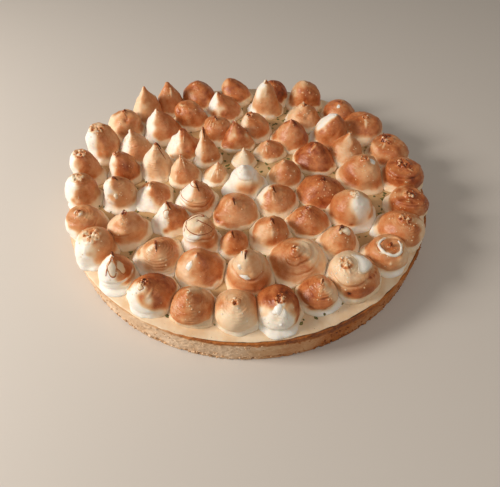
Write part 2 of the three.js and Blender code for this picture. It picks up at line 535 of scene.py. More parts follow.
@dataclass(frozen=True)
class MeringueFinish:
    """Meringue from raw white through toasted tan and orange-brown to burnt."""

    raw: Colour = srgb(255, 250, 240)
    kissed: Colour = srgb(246, 219, 184)
    tan: Colour = srgb(229, 177, 128)
    toasted: Colour = srgb(205, 126, 72)
    browned: Colour = srgb(158, 74, 28)
    burnt: Colour = srgb(46, 24, 12)
    dull: float = 0.5
    baked: float = 0.14  # how much smoother it gets where it is toasted
    shiny: float = 0.14
    piping: float = 0.75  # distance between the fine rings that piping leaves, in millimetres

    def material(self) -> bpy.types.Material:
        """Builds the finish, which follows the `toast` and `gloss` painted on a drop."""
        recipe = Recipe("toasted_meringue")
        # toast is toasting, with some painted light and shade in it: paler lit sides, browner shaded sides
        # and creases, warm shade on the feet
        toast = recipe.painted("toast")
        gloss = recipe.painted("gloss")
        mottle = recipe.noise(3.2, 3.0, 0.6)
        freckle = recipe.noise(0.7, 2.0, 0.7)
        height = recipe.add("ShaderNodeSeparateXYZ", inputs={0: recipe.place()}, output="Z")
        wander = recipe.noise(6.0, 2.0) * 2.2 + recipe.noise(1.5, 1.0) * 0.35
        wave = (height * (1.0 / (self.piping * MM)) + wander) * math.tau
        line = wave.math("SINE") * recipe.painted("ridges") * recipe.noise(4.0, 1.0).step(0.35, 0.65)
        depth = toast + ((mottle - 0.5) * 0.16 + line * 0.05) * toast.step(0.05, 0.4)
        depth = depth + (freckle - 0.5) * 0.24 * toast.step(0.2, 0.7)
        bubbles = recipe.cells(1.3).step(0.45, 0.1) * recipe.noise(4.5).step(0.45, 0.6)
        bubbles = bubbles * toast.step(0.1, 0.5)
        relief = recipe.noise(0.55, 3.0, 0.6) + line * 0.5 + bubbles * 0.7
        baked = self.baked * toast.step(0.3, 0.8)
        stops = (
            (0.0, self.raw),
            (0.2, self.kissed),
            (0.42, self.tan),
            (0.65, self.toasted),
            (0.86, self.browned),
            (1.0, self.burnt),
        )
        recipe.set(
            Base_Color=recipe.ramp(depth * 0.87, stops),
            Roughness=self.dull - baked - gloss * (self.dull - self.baked - self.shiny),
            Subsurface_Weight=0.2,
            Subsurface_Radius=(1.0, 0.6, 0.4),
            Subsurface_Scale=2.0 * MM,
            Specular_IOR_Level=0.5,
            Normal=recipe.bump(relief, 0.22, 0.6),
        )
        return recipe.material


@dataclass(frozen=True)
class PastryFinish:
    """Sandy shortcrust, browner where `bake` is painted."""

    pale: Colour = srgb(246, 218, 188)
    golden: Colour = srgb(222, 180, 136)
    brown: Colour = srgb(184, 107, 38)
    dark: Colour = srgb(118, 58, 20)

    def material(self) -> bpy.types.Material:
        """Builds the finish."""
        recipe = Recipe("shortcrust")
        bake = recipe.painted("bake")
        sand = recipe.cells(0.9)
        cloud = recipe.noise(7.0, 3.0)
        level = bake + (cloud - 0.5) * 0.3 + (sand - 0.4) * 0.12
        stops = ((0.0, self.pale), (0.35, self.golden), (0.75, self.brown), (1.0, self.dark))
        relief = recipe.noise(0.8, 4.0, 0.7) * 0.7 + sand * 0.3
        recipe.set(
            Base_Color=recipe.ramp(level, stops),
            Roughness=0.86 - bake * 0.16,
            Normal=recipe.bump(relief, 0.5, 0.6),
        )
        return recipe.material


@dataclass(frozen=True)
class CreamFinish:
    """Lemon cream with a satin skin and fine green specks, pale where `edge` is painted, and darker away from
    the rim, partly as painted shade between the drops.
    """

    pale: Colour = srgb(246, 224, 194)
    deep: Colour = srgb(231, 198, 159)
    # inner and shaded: the cream between the drops, a deeper colour that is also darkened as painted shade of
    # the drops around it
    inner: Colour = srgb(212, 178, 132)
    shaded: Colour = srgb(192, 154, 106)
    speck: Colour = srgb(136, 122, 66)

    def material(self) -> bpy.types.Material:
        """Builds the finish."""
        recipe = Recipe("lemon_cream")
        cloud = recipe.noise(9.0, 2.0).step(0.3, 0.7)
        specks = recipe.cells(2.4).step(0.13, 0.08) * recipe.noise(5.0).step(0.5, 0.6)
        rim = recipe.blend(cloud, self.pale, self.deep)
        # the darker middle is partly painted shade between the drops
        middle = recipe.blend(cloud, self.inner, self.shaded)
        body = recipe.blend(recipe.painted("edge"), middle, rim)
        recipe.set(
            Base_Color=recipe.blend(specks * 0.7, body, self.speck),
            Roughness=0.34 + recipe.noise(2.0) * 0.15,
            Subsurface_Weight=0.1,
            Subsurface_Radius=(1.0, 0.7, 0.35),
            Subsurface_Scale=2.0 * MM,
            Normal=recipe.bump(recipe.noise(1.6, 3.0), 0.25, 0.35),
        )
        return recipe.material


@dataclass(frozen=True)
class ZestFinish:
    """Grated lime zest, dark and a little shiny."""

    dark: Colour = srgb(96, 96, 44)
    light: Colour = srgb(150, 142, 78)

    def material(self) -> bpy.types.Material:
        """Builds the finish."""
        recipe = Recipe("zest")
        recipe.set(
            Base_Color=recipe.blend(recipe.noise(2.5, 2.0).step(0.4, 0.65), self.dark, self.light),
            Roughness=0.4 + recipe.noise(0.5) * 0.2,
            Normal=recipe.bump(recipe.noise(0.3), 0.05, 0.5),
        )
        return recipe.material


@dataclass(frozen=True)
class FloorFinish:
    """A plain pale table."""

    colour: Colour = srgb(214, 209, 203)
    shading: float = 0.94  # how dark its faint clouds are

    def material(self) -> bpy.types.Material:
        """Builds the finish."""
        recipe = Recipe("table")
        shade = (*(channel * self.shading for channel in self.colour[:3]), 1.0)
        clouds = recipe.noise(60.0, 2.0) * 0.04
        recipe.set(Base_Color=recipe.blend(clouds, self.colour, shade), Roughness=0.7)
        return recipe.material


# ---------------- meringue drops


@dataclass(frozen=True)
class DropForm:
    """The form of one piped drop, read from its solid."""

    foot: np.ndarray  # the middle of its foot, XY
    base: float  # the height of its foot
    height: float  # from the foot to the tip
    lean: np.ndarray  # XY from the foot's middle to the tip
    levels: np.ndarray  # rows of height above the foot and radius, from the foot up

    @property
    def radius(self) -> float:
        """The widest radius of its body, above the foot."""
        body = self.levels[:, 0] > 0.2 * self.height
        return float(self.levels[body, 1].max())


SAME_LEVEL = 0.01  # heights nearer than this, in millimetres, are one level
RING_POINTS = 6  # the least number of points on a level that counts as a ring


def drop_forms(node: str) -> list[DropForm]:
    """Reads the drops of a solid.

    Args:
        node: The solid's name.

    Returns:
        Its one or two drops, the one further back first.
    """
    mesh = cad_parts[node].data
    flat = np.empty(3 * len(mesh.vertices))
    mesh.vertices.foreach_get("co", flat)
    points, merged = np.unique(np.round(flat.reshape(-1, 3) / MM, 3), axis=0, return_inverse=True)
    ends = np.empty(2 * len(mesh.edges), dtype=int)
    mesh.edges.foreach_get("vertices", ends)
    edges = merged.ravel()[ends.reshape(-1, 2)]
    edges = np.concatenate([edges, edges[:, ::-1]])
    edges = edges[edges[:, 0] != edges[:, 1]]
    height = points[:, 2]
    highest = np.full(len(points), -np.inf)
    np.maximum.at(highest, edges[:, 0], height[edges[:, 1]])
    base = height.min()
    tips = points[height > highest]
    middles = points[np.maximum(height, highest) < base + SAME_LEVEL][:, :2]
    feet = [middles[np.argmin(norms(middles - tip[:2]))] for tip in tips]
    owner = np.argmin([norms(points[:, :2] - foot) for foot in feet], axis=0)
    forms = []
    for number, (tip, foot) in enumerate(zip(tips, feet)):
        tall = tip[2] - base
        lean = tip[:2] - foot
        own = points[owner == number]
        levels = []
        for level in np.unique(own[:, 2]):
            ring = own[own[:, 2] == level]
            if len(ring) < RING_POINTS:
                continue
            rise = level - base
            reach = np.sort(norms(ring[:, :2] - foot - lean * (rise / tall) ** 2))
            levels.append((rise, reach[len(reach) // 2 :].mean()))
        forms.append(DropForm(foot, base, tall, lean, np.array(levels)))
    return sorted(forms, key=lambda form: -form.foot[1])


class Tip(Enum):
    """How the top of a drop ends."""

    ROUND = "round"
    PEAK = "peak"
    HOOK = "hook"  # a thin burnt curl
    BROKEN = "broken"  # a rough top with burst bubbles
    RING = "ring"  # a small ring where the nozzle left
    TWIN = "twin"  # a burnt curl beside a small white one


CURLED = (Tip.HOOK, Tip.TWIN)


@dataclass(frozen=True)
class Ending:
    """How the profile of a drop ends under one kind of tip."""

    below: float  # how far below the tip the body's own form stops
    rows: Rows  # share of the width, and depth below the tip; the last only steers


ENDINGS = {
    Tip.BROKEN: Ending(1.9, ((1.2, 1.2), (0.98, 0.5), (0.55, 0.25), (0.0, 0.2), (-0.55, 0.25))),
    Tip.PEAK: Ending(1.6, ((0.1, 0.8), (0.0, 0.0), (0.0, -1.0))),
    **dict.fromkeys(CURLED, Ending(2.6, ((0.16, 1.9), (0.07, 1.2), (0.0, 1.0), (-0.07, 1.2)))),
}


@dataclass(frozen=True)
class Face:
    """A side of a drop, given by where it faces."""

    bearing: float
    strength: float = 0.9
    spread: float = 55.0  # half the angle that it covers, in degrees
    rise: float = 15.0  # how far it faces up, in degrees


@dataclass(frozen=True)
class Blister:
    """A bubble of thin, shiny skin with a burnt edge; its pale skin is partly a painted highlight."""

    bearing: float
    up: float  # of its middle, as a share of the way from the foot to the tip
    width: float
    length: float
    white: float = 1.0  # how pale its skin is: raw, and partly a painted highlight
    rise: float = 0.4
    edge: float = 0.92  # how burnt its edge is


@dataclass(frozen=True)
class Streak:
    """A smooth pale ridge that runs down from the tip, or round the drop: partly raw meringue, partly a
    painted highlight along it.
    """

    bearing: float
    up: float
    width: float
    length: float
    slant: float = 0.0  # from upright, in degrees
    # white: how pale it is painted, partly as a painted highlight
    white: float = 0.8
    rise: float = 0.35


@dataclass(frozen=True)
class Step:
    """A crease round part of a drop, where the top has slid over the foot."""

    up: float
    bearing: float = 270.0
    spread: float = 180.0  # how far it runs each way from its bearing, in degrees
    depth: float = 0.7
    white: float = 0.0  # how raw the ledge below it is, partly a painted highlight on it
    dark: float = 0.25  # how dark the crease is painted: burnt, and partly painted shade in it
    shrink: float = 0.0  # how much narrower the top is above it, in millimetres


@dataclass(frozen=True)
class Lobe:
    """A soft bulge, or a dent where `rise` is below 0."""

    bearing: float
    up: float
    size: float
    rise: float
    toast: float = 0.0  # how much browner it is painted; in a dent this is partly painted shade


@dataclass(frozen=True)
class Skirt:
    """A raw foot that has spread out to one side."""

    bearing: float
    reach: float
    spread: float = 50.0


@dataclass(frozen=True)
class Strand:
    """A thin burnt thread that lies over the drop, through places given as bearing and `up`."""

    stops: Rows
    width: float = 0.6
    toast: float = 0.95
    lift: float = 0.05


Mark = Blister | Streak | Step | Lobe | Skirt | Strand


@dataclass(frozen=True)
class Look:
    """How one drop is toasted and shaped, beyond its form, with some painted light and shade."""

    tip: Tip = Tip.ROUND
    toast: float = 0.75
    # pale sides that face the key light, from the left, are partly painted light; deep sides that face away
    # from it are partly painted shade
    pale: Face | None = None
    deep: Face | None = None
    marks: tuple[Mark, ...] = ()
    beads: int = 4
    ridges: float = 0.5  # how much its fine piping rings show, from 0 to 1
    lumps: float = 0.5
    foot: float = 1.0  # how high its raw foot shows, as a share of the usual height
    burst: int = 12  # bubbles in a broken tip
    cap: float = 3.2  # radius of a broken tip
    lid: float = 0.0  # how pale a broken tip is painted: raw, and partly painted glints
    bend: float = 285.0  # the bearing that a burnt curl hangs down to
    hang: float = 3.2  # how far it hangs down, in millimetres


# Each solid's drops, the one further back first.
LOOKS: dict[str, list[Look]] = {
    "outer_01": [Look(Tip.BROKEN, 0.8, deep=Face(265, 0.35, 60, 5), beads=8, burst=18, cap=4, marks=(
        Streak(300, 0.72, 1.2, 4, -30), Step(0.5, 275, 110, 0.5, 0, 0.1),
    ))],
    "outer_02": [Look(Tip.BROKEN, 0.76, Face(190, 0.3, 35), beads=6, burst=20, cap=4.2, marks=(
        Streak(235, 0.72, 1.5, 6), Streak(215, 0.68, 1, 3.5), Lobe(60, 0.75, 3, -1, 0.4),
        Lobe(150, 0.86, 3.2, 1.6, 0.15), Lobe(115, 0.82, 2.4, 1.2, 0.2),
    ))],
    "outer_03": [
        Look(Tip.RING, 0.78, beads=3, marks=(
            Blister(250, 0.78, 2.8, 3.6, 1, 0.4, 0.3), Streak(40, 0.8, 1.2, 7, 80),
        )),
        Look(Tip.BROKEN, 0.8, beads=5, foot=1.9, cap=2.6, marks=(Streak(264, 0.7, 2.2, 8, 0, 1, 0.3),)),
    ],
    "outer_05": [
        Look(Tip.ROUND, 0.78, Face(170, 0.4, 45, 60), Face(275, 0.35, 60, -8), beads=7, marks=(
            Streak(252, 0.62, 1.3, 1.6, 0, 1, 0.6), Streak(288, 0.62, 1.2, 1.8, 0, 1, 0.6),
        )),
        Look(
            Tip.BROKEN, 0.62, Face(170, 0.35, 50, 35), Face(0, 0.5), beads=8, lumps=1.2, burst=6, cap=2,
            marks=(Lobe(190, 0.45, 4, 1.1), Lobe(215, 0.7, 3, 0.9)),
        ),
    ],
    "outer_06": [
        Look(Tip.ROUND, 0.84, Face(190, 0.5, 40), Face(340, 0.6)),
        Look(Tip.BROKEN, 0.6, Face(190, 1, 46, 64), Face(325, 0.6, 30, -5), beads=3, foot=0.4, cap=2.4),
    ],
    "outer_07": [Look(Tip.ROUND, 0.8, Face(180, 0.35, 35, 40))],
    "outer_08": [Look(Tip.ROUND, 0.82, marks=(Streak(185, 0.86, 1.6, 2.2),))],
    "outer_09": [
        Look(Tip.PEAK, 0.66, Face(170, 0.3, 30, 50), Face(205, 0.5, 35, 0), beads=3, marks=(
            Streak(297, 0.7, 1.5, 7, 12, 1, 0.5),
        )),
        Look(Tip.PEAK, 0.55, Face(195, 0.55), Face(330, 0.35, 35, 0), beads=1),
    ],
    "outer_11": [Look(Tip.HOOK, 0.6, Face(205, 0.6, 45), bend=60, marks=(
        Lobe(335, 0.6, 8, 2.2, 0.12), Lobe(295, 0.7, 3, -1.2, 0.2),
        Strand(((290, 0.98), (297, 0.85), (300, 0.62)), 0.7, 0.8, -0.1),
    ))],
    "outer_12": [Look(
        Tip.BROKEN, 0.62, Face(205, 1, 56), Face(340, 0.3), beads=9, lumps=0.9, foot=1.9, burst=22, cap=5.4,
        lid=0.2,
    )],
    "outer_13": [Look(
        Tip.BROKEN, 0.64, Face(205, 1, 54, 10), Face(330, 0.3), foot=1.4, burst=22, cap=5.2, lid=0.8,
    )],
    "outer_14": [Look(
        Tip.BROKEN, 0.62, Face(200, 1, 60), Face(350, 0.25), ridges=0.9, foot=1.5, burst=8, cap=3.8, lid=0.6,
    )],
    "outer_15": [Look(
        Tip.BROKEN, 0.6, Face(212, 1, 42, 0), Face(340, 0.2, 40), foot=0.5, burst=7, cap=2.8, lid=0.9,
        marks=(Step(0.44, 338, 45, 0.9, 0.1, 0.2), Lobe(110, 0.8, 3, -0.6, 0.1)),
    )],
    "outer_16": [Look(
        Tip.BROKEN, 0.54, Face(222, 1, 62, 10), Face(10, 0.35, 45), ridges=0.2, burst=22, cap=5, lid=0.7,
    )],
    "outer_17": [Look(
        Tip.HOOK, 0.62, Face(228, 1, 68, 5), Face(345, 0.6, 38), ridges=0.2, bend=300, hang=1.5,
        marks=(
            Step(0.3, 270, 110, 0.8, 1, 0.05), Blister(272, 0.66, 5.8, 9.4, 0.75, 0.5),
            Blister(324, 0.62, 4.8, 8.4, 0.5, 0.45), Skirt(262, 2.5, 70),
            Strand(((243, 0.48), (246, 0.74), (266, 0.93), (298, 0.8), (301, 0.56)), 0.8, 0.75),
            Strand(((303, 0.72), (318, 0.9), (346, 0.76), (346, 0.52)), 0.7, 0.75),
        ),
    )],
    "outer_18": [Look(Tip.BROKEN, 0.82, Face(228, 1, 66, 0), Face(50, 0.5), beads=3, cap=2.8, marks=(
        Blister(240, 0.84, 3, 3.4, 0.6, 0.7), Streak(300, 0.7, 1.4, 6, 55, 0.5),
    ))],
    "outer_19": [Look(
        Tip.BROKEN, 0.66, Face(60, 0.45, 35, 40), Face(335, 0.2), beads=12, ridges=3.4, cap=2.4,
    )],
    "outer_20": [Look(
        Tip.BROKEN, 0.46, Face(265, 0.45, 52), Face(20, 0.8, 38), beads=3, ridges=0.8, burst=8, cap=2.2,
        marks=(Lobe(180, 0.6, 5, 0.1, 0.3),),
    )],
    "outer_21": [Look(
        Tip.BROKEN, 0.84, Face(260, 0.95, 66, -2), Face(70, 0.3), beads=3, ridges=0.9, burst=18, cap=3.6,
        marks=(
            Blister(257, 0.7, 5.2, 5.4, 1, 0.5, 0.12), Blister(247, 0.63, 3, 3.6, 1, 0.35, 0.5),
            Blister(287, 0.6, 2.6, 6.4, 0.9, 0.4, 0.15), Blister(275, 0.38, 1.8, 1.8, 1, 0.9, 0.1),
            Lobe(262, 0.5, 3, -0.5, 0.12), Lobe(15, 0.55, 3, 0.7, 0.1), Skirt(262, 3, 55),
        ),
    )],
    "outer_22": [Look(
        Tip.BROKEN, 0.74, Face(355, 0.55, 48), Face(195, 0.3), beads=12, ridges=1.1, burst=16, cap=2.8,
        marks=(
            Step(0.27, 290, 90, 0.8, 0.6, 0.3), Step(0.55, 270, 140, 0.45, 0, 0.12),
            Streak(258, 0.76, 2, 5, 0, 0.35), Skirt(300, 1.5, 70),
        ),
    )],
    "outer_23": [Look(
        Tip.BROKEN, 0.6, Face(150, 0.55, 58, 60), Face(272, 0.9, 62, -12), beads=12, ridges=1, burst=16,
        marks=(
            Step(0.5, 280, 95, 1.1, 0.2, 0.2), Blister(14, 0.62, 14.5, 7.5, 0.95, 0.8, 0.4),
            Lobe(325, 0.5, 1.7, 0.5, 0.5), Lobe(337, 0.47, 1.5, 0.5, 0.5), Lobe(349, 0.455, 1.6, 0.5, 0.45),
            Lobe(1, 0.45, 1.5, 0.5, 0.5), Lobe(14, 0.45, 1.6, 0.5, 0.45), Streak(190, 0.78, 1, 5, -10),
            Streak(215, 0.8, 1, 6, -10), Streak(245, 0.84, 1, 5, -10), Streak(275, 0.8, 1.4, 4, 10, 0.4),
            Lobe(250, 0.3, 2, -0.8, 0.5), Lobe(320, 0.3, 2.2, 0.8), Lobe(334, 0.24, 2.2, 0.7),
            Lobe(345, 0.34, 2, 0.7),
        ),
    )],
    "outer_24": [Look(Tip.HOOK, 0.66, Face(330, 0.4, 40), beads=6, lumps=0.8, hang=1, marks=(
        Step(0.72, 285, 172, 1, 1, 0.1), Skirt(285, 1.5, 45), Streak(262, 0.45, 1.6, 1.8, 0, 0.9),
        Lobe(285, 0.92, 6, -0.3, 0.24),
        Strand(((115, 0.74), (175, 0.71), (230, 0.69), (290, 0.67), (345, 0.68), (390, 0.72)), 2, 0.04, 0.2),
    ))],
    "outer_25": [
        Look(Tip.BROKEN, 0.84, Face(140, 0.3), beads=12, burst=16, cap=3.6, marks=(
            Step(0.55, 300, 120, 0.4, 0, 0.1),
        )),
        Look(
            Tip.BROKEN, 0.7, Face(350, 0.5, 45), Face(80, 0.4, 40), beads=14, ridges=0.9, burst=16, cap=3.6,
            marks=(Skirt(180, 2, 60),),
        ),
    ],
    "second_01": [Look(
        Tip.BROKEN, 0.58, deep=Face(225, 0.45, 36, 0), beads=6, ridges=0.6, foot=0.7, burst=16, cap=3,
        marks=(
            Blister(345, 0.76, 4, 5, 1, 0.3, 0.2), Lobe(228, 0.3, 10, -0.4, 0.2), Lobe(190, 0.5, 9, 0, 0.2),
            Lobe(305, 0.25, 7, 0.3, 0.2),
        ),
    )],
    "second_02": [
        Look(Tip.ROUND, 0.78, Face(130, 1, 56, 52), foot=0.6),
        Look(
            Tip.BROKEN, 0.64, Face(250, 0.4, 26, 40), Face(190, 0.5, 40), beads=7, burst=14, cap=3.4, lid=0.4,
            marks=(Lobe(195, 0.5, 5, 1.2),),
        ),
    ],
    "second_06": [Look(Tip.PEAK, 0.76, Face(190, 1, 42, 56), Face(285, 0.5, 25, 5), beads=6, foot=0.6)],
    "second_07": [Look(Tip.ROUND, 0.72, deep=Face(215, 0.45, 30), beads=5, marks=(
        Lobe(215, 0.62, 4, -1.4, 0.15), Streak(195, 0.82, 2, 7, 60),
    ))],
    "second_08": [Look(Tip.PEAK, 0.62, Face(195, 1, 54), Face(350, 0.35), ridges=1)],
    "second_09": [Look(Tip.PEAK, 0.52, Face(190, 0.95, 52, 30), Face(310, 0.3, 40), ridges=1.4, marks=(
        Lobe(205, 0.75, 2, -0.8, 0.2), Lobe(190, 0.6, 2, -0.7, 0.2), Lobe(195, 0.45, 2, -0.6, 0.15),
    ))],
    "second_10": [Look(Tip.BROKEN, 0.76, Face(198, 0.9, 54), Face(300, 0.5, 40, 10), burst=4, cap=2.2)],
    "second_11": [Look(Tip.HOOK, 0.6, Face(198, 1, 58), beads=8, ridges=0.9, lumps=0.8, bend=350, marks=(
        Lobe(215, 0.4, 2, -0.8, 0.2), Lobe(25, 0.8, 2.5, -0.5, 0.4), Skirt(310, 2.5, 40),
        Blister(275, 0.52, 2.4, 3.4, 0.7, 0.7, 0.2), Lobe(245, 0.3, 2.5, 0.6, 0.15),
    ))],
    "second_12": [Look(Tip.BROKEN, 0.6, Face(175, 0.45, 42, 25), beads=10, lumps=1, burst=14, cap=3, marks=(
        Step(0.4, 235, 65, 0.9, 0.1, 0.2), Lobe(20, 0.5, 5, 0.6, 0.1), Lobe(245, 0.2, 5, 0, 0.16),
    ))],
    "second_13": [Look(
        Tip.HOOK, 0.58, Face(205, 0.65, 28, 42), Face(30, 0.7, 45), beads=8, ridges=2.3, foot=1.5, bend=275,
        hang=4.5,
        marks=(Streak(215, 0.8, 3.6, 6, 0, 0.7, 0.2), Lobe(185, 0.4, 3, -0.4, 0.35), Skirt(285, 1.5, 60)),
    )],
    "second_14": [
        Look(Tip.ROUND, 0.6, Face(150, 0.65, 62, 45), Face(310, 0.3, 50, -10), beads=3, foot=1.6, marks=(
            Skirt(350, 2.2, 45), Step(0.52, 265, 120, 1.1, 0.6, 0.15), Streak(247, 0.56, 5, 12, 68, 1.7, 0.7),
            Lobe(222, 0.3, 10, 0.2, -0.6), Lobe(262, 0.18, 9, 0.2, -0.4), Lobe(300, 0.32, 7, 0.4, 0.1),
            Strand(((205, 0.6), (165, 0.84), (100, 0.88), (40, 0.84), (350, 0.6)), 0.7),
            Strand(((235, 0.94), (300, 0.98), (335, 0.8), (345, 0.62))),
        )),
        Look(Tip.PEAK, 0.66, Face(215, 0.4, 38), Face(340, 0.45), beads=3, foot=0.6, marks=(
            Blister(226, 0.62, 3.4, 6.5, 1, 0.5, 0.5), Streak(250, 0.94, 0.8, 3, 0, 0.7),
        )),
    ],
    "second_15": [Look(
        Tip.TWIN, 0.42, Face(205, 0.4, 50, 30), beads=2, ridges=0.3, foot=0.8, bend=275, hang=4,
        marks=(
            Step(0.44, 268, 110, 1, 0, 0.3, 1.6), Blister(256, 0.47, 7.5, 3, 1, 0.6, 0.5),
            Blister(222, 0.62, 3, 3.6, 0.9, 0.7, 0.1), Lobe(270, 0.28, 10, 0.4, 0.45),
            Lobe(222, 0.26, 10, 0.4, 0.42), Lobe(318, 0.26, 9, 0.4, 0.4), Lobe(185, 0.24, 8, 0, 0.35),
        ),
    )],
    "second_16": [
        Look(
            Tip.HOOK, 0.7, Face(235, 0.28, 30, 40), Face(0, 0.3), beads=8, ridges=1, lumps=0.8, foot=1.5,
            marks=(Streak(275, 0.6, 1.6, 9, 0, 0.4),),
        ),
        Look(
            Tip.BROKEN, 0.66, Face(5, 0.5, 46, 35), Face(212, 0.6, 50, 0), beads=3, ridges=0.7, cap=2.4,
            marks=(
                Step(0.8, 250, 150, 0.5, 0, 0.2), Step(0.62, 320, 120, 0.8, 0.1, 0.15),
                Step(0.42, 345, 95, 0.9, 0.2, 0.15), Lobe(240, 0.86, 3, 0.5, 0.15),
            ),
        ),
    ],
    "second_17": [Look(Tip.HOOK, 0.72, Face(200, 0.25), beads=8, bend=250, marks=(
        Blister(335, 0.8, 5, 5.4, 0.7, 1.3, 0.35), Streak(255, 0.84, 1.8, 2.4, 0, 1, 0.5), Skirt(285, 2),
    ))],
    "second_18": [
        Look(Tip.HOOK, 0.84, deep=Face(60, 0.3), beads=12, foot=0.3, hang=2, marks=(
            Lobe(262, 0.2, 9, 0, 0.15),
        )),
        # Its wide pale streak is a painted highlight on its top, and its pale right side is partly painted
        # light where the key leaves it in shade.
        Look(
            Tip.BROKEN, 0.54, Face(304, 0.85, 36, 48), Face(195, 0.7, 50, 10), beads=3, ridges=0.2, lumps=0.3,
            lid=0.6,
            marks=(Streak(290, 0.74, 8, 10, 0, 1.4, 0.3), Lobe(262, 0.22, 2, -0.7, 0.4)),
        ),
    ],
    "third_01": [Look(Tip.PEAK, 0.93, foot=0.7, marks=(Streak(235, 0.8, 1.8, 7, 20, 0.6),))],
    "third_02": [Look(Tip.PEAK, 0.84, Face(240, 0.2, 40, 40), Face(320, 0.3), foot=0.6)],
    "third_03": [Look(Tip.BROKEN, 0.7, Face(195, 0.75, 40, 25), beads=5, lumps=0.8, cap=2.6)],
    "third_04": [
        Look(Tip.HOOK, 0.74, beads=10, marks=(
            Streak(205, 0.75, 1, 5, -20), Streak(230, 0.74, 0.9, 5, -15), Streak(255, 0.72, 0.9, 5),
        )),
        Look(Tip.PEAK, 0.78, Face(270, 0.85, 36, 78), Face(210, 0.5, 45, 0), foot=0.5),
    ],
    "third_05": [Look(Tip.PEAK, 0.78, Face(205, 0.95, 45), beads=6, lumps=1.2, foot=0.6, marks=(
        Streak(200, 0.5, 1.2, 5, -20, 0.9), Streak(225, 0.45, 1.2, 5, -25, 0.9), Streak(285, 0.7, 0.9, 5, 10),
    ))],
    "third_06": [Look(Tip.HOOK, 0.4, Face(200, 0.7, 45), beads=5, ridges=2.2, bend=335, hang=5, marks=(
        Strand(((318, 0.95), (330, 0.74), (338, 0.5)), 0.7, 0.9),
    ))],
    "third_07": [Look(Tip.BROKEN, 0.74, Face(222, 1, 50), beads=5, cap=2.6)],
    "third_08": [Look(Tip.HOOK, 0.8, Face(200, 1, 56), beads=5, bend=330, hang=4.5, marks=(
        Blister(255, 0.7, 4, 5.5, 0.8),
    ))],
    "third_10": [Look(Tip.HOOK, 0.8, Face(200, 0.35, 35), hang=4, marks=(Skirt(185, 2.5, 45),))],
    "third_12": [Look(Tip.BROKEN, 0.76, beads=9, foot=0.7, burst=18, cap=3.4, lid=0.3, marks=(
        Streak(200, 0.6, 2, 4, 30, 0.4), Skirt(330, 1.5),
    ))],
    "fourth_01": [Look(Tip.ROUND, 0.74, Face(200, 0.2), beads=6)],
    "fourth_02": [Look(Tip.PEAK, 0.74, Face(200, 0.35, 40), marks=(
        Streak(250, 0.55, 1, 5, -10, 0.9), Streak(225, 0.5, 0.9, 4, -15),
    ))],
    "fourth_04": [Look(Tip.HOOK, 0.7, Face(200, 0.85, 40), beads=2, bend=290, hang=6, marks=(
        Blister(300, 0.2, 1.8, 1.9, 0.5, 0.9), Streak(262, 0.8, 0.8, 7, 5),
    ))],
    "fourth_05": [Look(Tip.PEAK, 0.64, Face(195, 0.5, 44), beads=8, marks=(
        Streak(240, 0.3, 1.4, 3.4), Streak(300, 0.7, 0.8, 5, 5),
    ))],
    "fourth_06": [Look(
        Tip.HOOK, 0.6, Face(190, 0.95, 48, 25), Face(345, 0.6, 38), beads=2, ridges=0.3, bend=300, hang=6,
        marks=(
            Step(0.36, 268, 120, 1.3, 0, 0.6), Step(0.22, 268, 110, 0.6),
            Strand(((25, 0.9), (345, 0.74), (318, 0.52)), 0.55, 0.8),
            Strand(((38, 0.8), (0, 0.6), (335, 0.42)), 0.5, 0.7), Blister(255, 0.5, 1.2, 1.2, 0.6, 0.6),
        ),
    )],
    "fourth_07": [Look(Tip.HOOK, 0.66, beads=3, foot=0.6, hang=4, marks=(
        Lobe(200, 0.35, 9, 0, 0.15), Lobe(208, 0.26, 4.5, 1.5, 0.15), Lobe(218, 0.12, 3, -0.9, 0.35),
        Streak(195, 0.7, 2, 6, -30, 0.3),
    ))],
    "fourth_08": [Look(Tip.HOOK, 0.74, Face(165, 0.85, 40, 30), beads=5, marks=(
        Streak(262, 0.7, 1.6, 7, 0, 0.4),
    ))],
    "centre_01": [Look(Tip.ROUND, 0.34, Face(170, 1, 95, 55), ridges=0.3, marks=(
        Skirt(200, 4, 60), Skirt(300, 3, 60), Step(0.6, 270, 110, 0.6, 0, 0.1), Lobe(20, 0.7, 7, 1.4),
        Lobe(255, 0.38, 6.5, 0.5, 0.5), Lobe(285, 0.36, 6.5, 0.4, 0.55), Lobe(310, 0.4, 5, 0.3, 0.3),
    ))],
    "centre_02": [Look(Tip.PEAK, 0.66, Face(215, 0.6, 40), marks=(
        Streak(245, 0.5, 1.1, 7, white=0.9), Streak(280, 0.5, 0.9, 5, white=0.7),
        Streak(210, 0.5, 0.9, 5, -10, 0.6), Skirt(215, 2.5),
    ))],
    "centre_03": [Look(Tip.PEAK, 0.46, Face(230, 0.6, 55, 30), Face(0, 0.5), beads=2)],
}


@dataclass(frozen=True)
class Bead:
    """A small shiny bead of caramel on a drop."""

    place: np.ndarray
    way: np.ndarray  # the way it stands out
    radius: float
    toast: float  # how toasted the drop is there
    sunk: float = 0.35  # as a share of its radius

    def patch(self) -> Patch:
        """Builds the bead.

        Returns:
            Its closed surface.
        """
        ball, faces = small_ball(2)
        even = np.ones(len(ball))
        # painted paler than the drop under it, as a painted glint on top of its gloss
        paint = {"toast": even * max(0.1, 0.6 * self.toast - 0.05), "gloss": even, "ridges": 0.0 * even}
        return Patch(self.place - self.way * self.radius * self.sunk + ball * self.radius, faces, paint)


